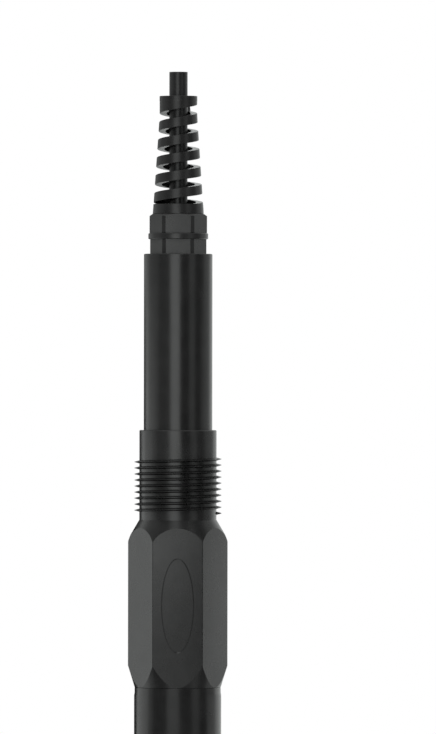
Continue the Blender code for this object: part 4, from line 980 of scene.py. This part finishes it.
top_ring_top = BOOT_TOP - TOP_RING_DROP
top_ring = turned(
    "top_ring",
    [
        (relief_radius(BOOT_TOP) + RING_STEP, top_ring_top),
        (relief_radius(BOOT_TOP) + RING_STEP, TOP_RING_BOTTOM),
        (lip, TOP_RING_BOTTOM),
        (cable_hole, TOP_RING_BOTTOM + lip - cable_hole),
        (cable_hole, top_ring_top),
    ],
)
rounded(top_ring, MOULDED_EDGE, segments=MOULDED_EDGE_SEGMENTS)
combine(nut, top_ring, "UNION")
done(nut, "gland_nylon", "gland_nut", "gland_nut", angle=28)

# %% [markdown]
# ## The cable's jacket and the electrodes
#
# The cable is cut square, with its four cores showing in the end. The jacket is a turned tube. The
# electrodes and the temperature sheath are seen through the guard's windows, so they get round shapes too.

# %% Cable jacket
CABLE_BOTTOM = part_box("cable_jacket")[0].z
CABLE_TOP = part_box("cable_jacket")[1].z
JACKET_WALL = 0.0008
JACKET_EDGE = 0.00006

jacket = turned(
    "cable_jacket_tube",
    [
        (CABLE_RADIUS, CABLE_TOP),
        (CABLE_RADIUS, CABLE_BOTTOM),
        (CABLE_RADIUS - JACKET_WALL, CABLE_BOTTOM),
        (CABLE_RADIUS - JACKET_WALL, CABLE_TOP),
    ],
    facets=SMALL_FACETS,
)
rounded(jacket, JACKET_EDGE)
done(jacket, "cable_jacket", "housing", "cable_jacket")


def moved(piece, x, y):
    """Move a turned piece off the axis, in its mesh."""
    bpy.ops.object.select_all(action="DESELECT")
    piece.select_set(True)
    bpy.context.view_layer.objects.active = piece
    bpy.ops.transform.translate(value=(x, y, 0))
    bpy.ops.object.transform_apply(location=True, rotation=True, scale=True)


# %% Electrodes
ELECTRODE_RADIUS = 0.0035
ELECTRODE_BORE = 0.0025
ELECTRODE_OFFSET = 0.00545
HEAD_RADIUS = 0.0041
HEAD_HEIGHT = 0.0020
TIP = 0.0100
CAP_LENGTH = 0.0080
CAP_WALL = 0.0005
CAP_FLOOR = 0.0010
CAP_EDGE = 0.00012
CAP_HOLE_RADIUS = 0.0020
MEMBRANE_THICKNESS = 0.0005
NECK_WALL = 0.0007
NECK_STEP_BOTTOM = 0.0013
NECK_STEP_TOP = 0.0023
ELECTRODE_EDGE = 0.00008
ELECTRODE_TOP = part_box("nitrate_electrode_body")[1].z
HEAD_DEPTH = 0.0040
HEAD_BOTTOM = ELECTRODE_TOP - HEAD_DEPTH

head = [
    (ELECTRODE_RADIUS, ELECTRODE_TOP),
    (ELECTRODE_RADIUS, HEAD_BOTTOM + HEAD_HEIGHT),
    (HEAD_RADIUS, HEAD_BOTTOM + HEAD_HEIGHT),
    (HEAD_RADIUS, HEAD_BOTTOM),
    (ELECTRODE_RADIUS, HEAD_BOTTOM),
]
cap_bore = ELECTRODE_RADIUS - CAP_WALL
inner_neck = cap_bore - GAP
cap_top = TIP + CAP_LENGTH
membrane_top = TIP + CAP_FLOOR + GAP + MEMBRANE_THICKNESS + GAP
nitrate_body = turned(
    "nitrate_electrode_tube",
    [
        *head,
        (ELECTRODE_RADIUS, cap_top + SEAM),
        (inner_neck, cap_top + SEAM),
        (inner_neck, membrane_top),
        (inner_neck - NECK_WALL, membrane_top),
        (inner_neck - NECK_WALL, cap_top + NECK_STEP_BOTTOM),
        (ELECTRODE_BORE, cap_top + NECK_STEP_TOP),
        (ELECTRODE_BORE, ELECTRODE_TOP),
    ],
    facets=ELECTRODE_FACETS,
)
rounded(nitrate_body, ELECTRODE_EDGE)
moved(nitrate_body, -ELECTRODE_OFFSET, 0)
done(nitrate_body, "electrode_plastic", "housing", "nitrate_electrode_body")

nitrate_cap = turned(
    "nitrate_cap",
    [
        (ELECTRODE_RADIUS, cap_top),
        (ELECTRODE_RADIUS, TIP + CAP_FLOOR / 2),
        (ELECTRODE_RADIUS - CAP_FLOOR / 2, TIP),
        (CAP_HOLE_RADIUS, TIP),
        (CAP_HOLE_RADIUS, TIP + CAP_FLOOR),
        (cap_bore, TIP + CAP_FLOOR),
        (cap_bore, cap_top),
    ],
    facets=ELECTRODE_FACETS,
)
rounded(nitrate_cap, CAP_EDGE)
moved(nitrate_cap, -ELECTRODE_OFFSET, 0)
done(nitrate_cap, "electrode_plastic", "housing", "nitrate_membrane_cap")

JUNCTION_HOLE = 0.0016
REFERENCE_FLOOR = 0.0035
REFERENCE_CHAMFER = 0.0005
reference_body = turned(
    "reference_electrode_tube",
    [
        *head,
        (ELECTRODE_RADIUS, TIP + REFERENCE_CHAMFER),
        (ELECTRODE_RADIUS - REFERENCE_CHAMFER, TIP),
        (JUNCTION_HOLE, TIP),
        (JUNCTION_HOLE, TIP + REFERENCE_FLOOR),
        (ELECTRODE_BORE, TIP + REFERENCE_FLOOR),
        (ELECTRODE_BORE, ELECTRODE_TOP),
    ],
    facets=ELECTRODE_FACETS,
)
rounded(reference_body, ELECTRODE_EDGE)
moved(reference_body, ELECTRODE_OFFSET, 0)
done(reference_body, "electrode_plastic", "housing", "reference_electrode_body")

# %% Temperature sheath
SHEATH_RADIUS = 0.0020
SHEATH_WALL = 0.0005
SHEATH_TIP = 0.0140
SHEATH_COLLAR_WIDTH = 0.0008
SHEATH_COLLAR_HEIGHT = 0.0010
ROUND_STEPS = 10
sheath_low, sheath_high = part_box("temperature_sheath")
sheath_offset = (sheath_low.y + sheath_high.y) / 2


def round_end(radius, centre):
    """Points down a half-round end, from its rim to just before the axis."""
    angles = [math.pi / 2 * step / ROUND_STEPS for step in range(ROUND_STEPS)]
    return [(radius * math.cos(angle), centre - radius * math.sin(angle)) for angle in angles]


sheath_centre = SHEATH_TIP + SHEATH_RADIUS
sheath = turned(
    "temperature_sheath_tube",
    [
        (SHEATH_RADIUS, ELECTRODE_TOP),
        (SHEATH_RADIUS, HEAD_BOTTOM + SHEATH_COLLAR_HEIGHT),
        (SHEATH_RADIUS + SHEATH_COLLAR_WIDTH, HEAD_BOTTOM + SHEATH_COLLAR_HEIGHT),
        (SHEATH_RADIUS + SHEATH_COLLAR_WIDTH, HEAD_BOTTOM),
        (SHEATH_RADIUS, HEAD_BOTTOM),
        *round_end(SHEATH_RADIUS, sheath_centre),
    ],
    closed=False,
    facets=ELECTRODE_FACETS,
)
sheath_bore = turned(
    "sheath_bore",
    [
        (SHEATH_RADIUS - SHEATH_WALL, ELECTRODE_TOP + THROUGH),
        *round_end(SHEATH_RADIUS - SHEATH_WALL, sheath_centre),
    ],
    closed=False,
    facets=ELECTRODE_FACETS,
)
combine(sheath, sheath_bore, "DIFFERENCE")
moved(sheath, 0, sheath_offset)
done(sheath, "sheath_steel", "housing", "temperature_sheath")

# %% [markdown]
# ## Finishes
#
# Each finish is made from three noise patterns in the piece's own coordinates: patches that vary the colour
# a little, broader ones that vary the gloss as handling does, and a fine grain that bends the light. A
# stretch along an axis turns the grain into drawn, brushed or turned lines.

# %% Material helpers
COLOUR_PATCH = 0.004
GLOSS_PATCH = 0.009
COLOUR_SPREAD = (0.35, 0.65)
GLOSS_SPREAD = (0.3, 0.7)


def pattern(tree, row, size, stretch=(1.0, 1.0, 1.0), detail=3.0):
    """A noise pattern whose features have a size in metres."""
    place = node_at(tree, "ShaderNodeTexCoord", (-1400, row))
    mapping = node_at(tree, "ShaderNodeMapping", (-1200, row))
    mapping.inputs["Scale"].default_value = stretch
    noise = node_at(tree, "ShaderNodeTexNoise", (-1000, row))
    noise.inputs["Scale"].default_value = 1.0 / size
    noise.inputs["Detail"].default_value = detail
    tree.links.new(place.outputs["Object"], mapping.inputs["Vector"])
    tree.links.new(mapping.outputs["Vector"], noise.inputs["Vector"])
    return noise.outputs["Fac"]


def colour_patches(tree, shader, row, source, low, high):
    """Vary the colour between two tones by a pattern."""
    ramp = node_at(tree, "ShaderNodeValToRGB", (-700, row))
    for stop, position, tone in zip(ramp.color_ramp.elements, COLOUR_SPREAD, (low, high)):
        stop.position = position
        stop.color = (*tone, 1.0)
    tree.links.new(source, ramp.inputs["Fac"])
    tree.links.new(ramp.outputs["Color"], shader.inputs["Base Color"])


def gloss_patches(tree, shader, row, source, low, high):
    """Vary the roughness between two values by a pattern."""
    spread = node_at(tree, "ShaderNodeMapRange", (-700, row))
    spread.inputs["From Min"].default_value = GLOSS_SPREAD[0]
    spread.inputs["From Max"].default_value = GLOSS_SPREAD[1]
    spread.inputs["To Min"].default_value = low
    spread.inputs["To Max"].default_value = high
    tree.links.new(source, spread.inputs["Value"])
    tree.links.new(spread.outputs["Result"], shader.inputs["Roughness"])


def relief(tree, shader, row, source, depth):
    """Raise and lower the surface by a pattern, up to a depth in metres."""
    bump = node_at(tree, "ShaderNodeBump", (-400, row))
    bump.inputs["Strength"].default_value = 1.0
    bump.inputs["Distance"].default_value = depth
    tree.links.new(source, bump.inputs["Height"])
    tree.links.new(bump.outputs["Normal"], shader.inputs["Normal"])


def finish(name, tones, roughness, grain, depth, stretch=(1.0, 1.0, 1.0), metallic=0.0):
    """A finish from two tones, a range of roughness, and a grain with a size and a depth in metres."""
    material = bpy.data.materials.new(name)
    material.use_nodes = True
    tree = material.node_tree
    shader = tree.nodes["Principled BSDF"]
    shader.inputs["Metallic"].default_value = metallic
    colour_patches(tree, shader, 300, pattern(tree, 300, COLOUR_PATCH), *tones)
    gloss_patches(tree, shader, 0, pattern(tree, 0, GLOSS_PATCH, detail=5.0), *roughness)
    relief(tree, shader, -300, pattern(tree, -300, grain, stretch), depth)
    material.diffuse_color = (*tones[1], 1.0)
    return material


def grey(value):
    """A neutral tone."""
    return (value, value, value)


# %% [markdown]
# The housing is a deep black plastic. Its moulded parts have a fine even grain from the mould, and its
# turned parts have rings that are too fine to see but draw the gloss out along the axis. The nylon of the
# gland is a little rougher, and the cable's jacket has faint drawn lines along its length.

# %% Black finishes
moulded_black = finish("moulded_black", (grey(0.0070), grey(0.0100)), (0.24, 0.30), 0.00025, 0.0000020)
turned_black = finish(
    "turned_black", (grey(0.0065), grey(0.0090)), (0.22, 0.28), 0.0020, 0.0000040, stretch=(1, 1, 14)
)
nylon = finish("gland_nylon_look", (grey(0.0090), grey(0.0120)), (0.26, 0.33), 0.00022, 0.0000045)
jacket_look = finish(
    "cable_jacket_look", (grey(0.0090), grey(0.0120)), (0.27, 0.33), 0.00030, 0.0000060, stretch=(1, 1, 0.1)
)
rubber = finish("seal_rubber_look", (grey(0.012), grey(0.018)), (0.62, 0.75), 0.00020, 0.0000080)
resin = finish("thermistor_resin_look", (grey(0.020), grey(0.030)), (0.25, 0.40), 0.0008, 0.0000200)
chip_resin = finish("chip_resin_look", (grey(0.018), grey(0.028)), (0.45, 0.55), 0.00012, 0.0000050)
print("Black finishes: 7")

# %% [markdown]
# Inside the guard, the electrodes are a pale plastic, the membrane is a soft cream film, the junction is a
# porous ceramic, and the temperature sheath is steel brushed along its length. Inside the housing are the
# carrier, the board with its parts, and the leads.

# %% Finishes of the electrodes and what is inside
carrier_look = finish("carrier_plastic_look", (grey(0.085), grey(0.105)), (0.36, 0.46), 0.00025, 0.0000050)
electrode_look = finish(
    "electrode_plastic_look", ((0.56, 0.56, 0.53), (0.63, 0.63, 0.61)), (0.30, 0.40), 0.0004, 0.0000040
)
membrane_look = finish(
    "membrane_look", ((0.74, 0.65, 0.44), (0.82, 0.74, 0.54)), (0.25, 0.38), 0.0003, 0.0000080
)
ceramic_look = finish(
    "junction_ceramic_look", ((0.70, 0.68, 0.63), (0.84, 0.82, 0.78)), (0.75, 0.88), 0.00012, 0.0000300
)
silver_look = finish(
    "silver_wire_look",
    ((0.52, 0.50, 0.46), (0.72, 0.71, 0.68)),
    (0.25, 0.40), 0.0002, 0.0000030,
    stretch=(1, 1, 0.08), metallic=1.0,
)
steel_look = finish(
    "sheath_steel_look",
    ((0.50, 0.50, 0.51), (0.58, 0.58, 0.59)),
    (0.20, 0.30), 0.0003, 0.0000025,
    stretch=(1, 1, 0.05), metallic=1.0,
)
slip_look = finish(
    "slip_ring_look", ((0.70, 0.70, 0.68), (0.77, 0.77, 0.75)), (0.34, 0.44), 0.0003, 0.0000040
)
lead_look = finish("lead_look", ((0.62, 0.62, 0.62), (0.70, 0.70, 0.70)), (0.40, 0.50), 0.0003, 0.0000050)
connector_look = finish(
    "connector_look", ((0.68, 0.66, 0.60), (0.76, 0.74, 0.69)), (0.40, 0.52), 0.0003, 0.0000050
)
CORE_TONES = {
    "core_red": ((0.45, 0.02, 0.02), (0.56, 0.03, 0.03)),
    "core_black": (grey(0.015), grey(0.022)),
    "core_blue": ((0.02, 0.07, 0.36), (0.03, 0.10, 0.46)),
    "core_yellow": ((0.60, 0.46, 0.03), (0.72, 0.56, 0.04)),
}
core_looks = {
    core: finish(core + "_look", tones, (0.35, 0.45), 0.0003, 0.0000040)
    for core, tones in CORE_TONES.items()
}
print("Core colours:", ", ".join(core_looks))

# %% [markdown]
# The board is covered in green solder mask. A brick pattern stands for the copper tracks that show through
# the mask as a lighter green.

# %% Board
TRACK_WIDTH = 0.0008
TRACK_LENGTH = 3.0
TRACK_LINE = 0.08
TRACK_GREEN = (0.03, 0.20, 0.09, 1.0)


def board_finish():
    """Green solder mask over tracks."""
    material = finish(
        "board_look", ((0.012, 0.110, 0.045), (0.020, 0.150, 0.065)), (0.28, 0.40), 0.0005, 0.0000030
    )
    tree = material.node_tree
    shader = tree.nodes["Principled BSDF"]
    place = node_at(tree, "ShaderNodeTexCoord", (-1400, -700))
    turn = node_at(tree, "ShaderNodeMapping", (-1200, -700))
    turn.inputs["Rotation"].default_value = (math.pi / 2, 0.0, 0.0)
    tracks = node_at(tree, "ShaderNodeTexBrick", (-1000, -700))
    tracks.inputs["Scale"].default_value = 1.0 / TRACK_WIDTH
    tracks.inputs["Mortar Size"].default_value = TRACK_LINE
    tracks.inputs["Brick Width"].default_value = TRACK_LENGTH
    tracks.inputs["Row Height"].default_value = 1.0
    tree.links.new(place.outputs["Object"], turn.inputs["Vector"])
    tree.links.new(turn.outputs["Vector"], tracks.inputs["Vector"])
    ramp = tree.nodes["Color Ramp"]
    lighter = node_at(tree, "ShaderNodeMix", (-350, 500))
    lighter.data_type = "RGBA"
    lighter.inputs["B"].default_value = TRACK_GREEN
    tree.links.new(tracks.outputs["Fac"], lighter.inputs["Factor"])
    tree.links.new(ramp.outputs["Color"], lighter.inputs["A"])
    tree.links.new(lighter.outputs["Result"], shader.inputs["Base Color"])
    return material


board_look = board_finish()
print("Board tracks", TRACK_WIDTH * 1000, "mm apart")

# %% [markdown]
# Last, each finish goes to its pieces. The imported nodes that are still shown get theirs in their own
# material slots, and the new pieces get theirs in their meshes.

# %% Give out the finishes
FINISHES = (
    (moulded_black, ("main_body_shell",)),
    (turned_black, ("front_sleeve_shell", "rear_tube_shell", "guard_shell")),
    (nylon, ("gland_body_shell", "gland_nut_shell")),
    (jacket_look, ("cable_jacket_tube",)),
    (electrode_look, ("nitrate_electrode_tube", "nitrate_cap", "reference_electrode_tube")),
    (steel_look, ("temperature_sheath_tube",)),
    (rubber, ("gland_seal", "gland_washer", "spigot_o_ring", "carrier_o_ring")),
    (resin, ("thermistor",)),
    (chip_resin, ("amplifier_chip", "processor_chip", "driver_chip")),
    (carrier_look, ("electrode_carrier", "nitrate_plug", "reference_plug")),
    (membrane_look, ("nitrate_membrane",)),
    (ceramic_look, ("reference_junction",)),
    (silver_look, ("nitrate_silver_wire", "reference_silver_wire")),
    (slip_look, ("slip_ring",)),
    (lead_look, ("nitrate_lead", "reference_lead", "temperature_lead")),
    (connector_look, ("electrode_connector", "cable_connector")),
    (board_look, ("circuit_board",)),
    *((look, (name,)) for name, look in core_looks.items()),
)

for look, names in FINISHES:
    for name in names:
        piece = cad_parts.get(name) or bpy.data.objects[name]
        if piece.material_slots:
            for material_slot in piece.material_slots:
                material_slot.material = look
        else:
            piece.data.materials.append(look)
unfinished = [piece.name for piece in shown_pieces() if not piece.data.materials]
print("Pieces without a finish:", unfinished)

# %% [markdown]
# ## The last checks
#
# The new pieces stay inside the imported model's box.

# %% Boxes and finish
bpy.context.view_layer.update()
visual_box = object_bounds()
for corner, cad_corner in zip(visual_box, CAD_BOX):
    print("Visual", [round(v * 1000, 2) for v in corner], "CAD", [round(v * 1000, 2) for v in cad_corner])
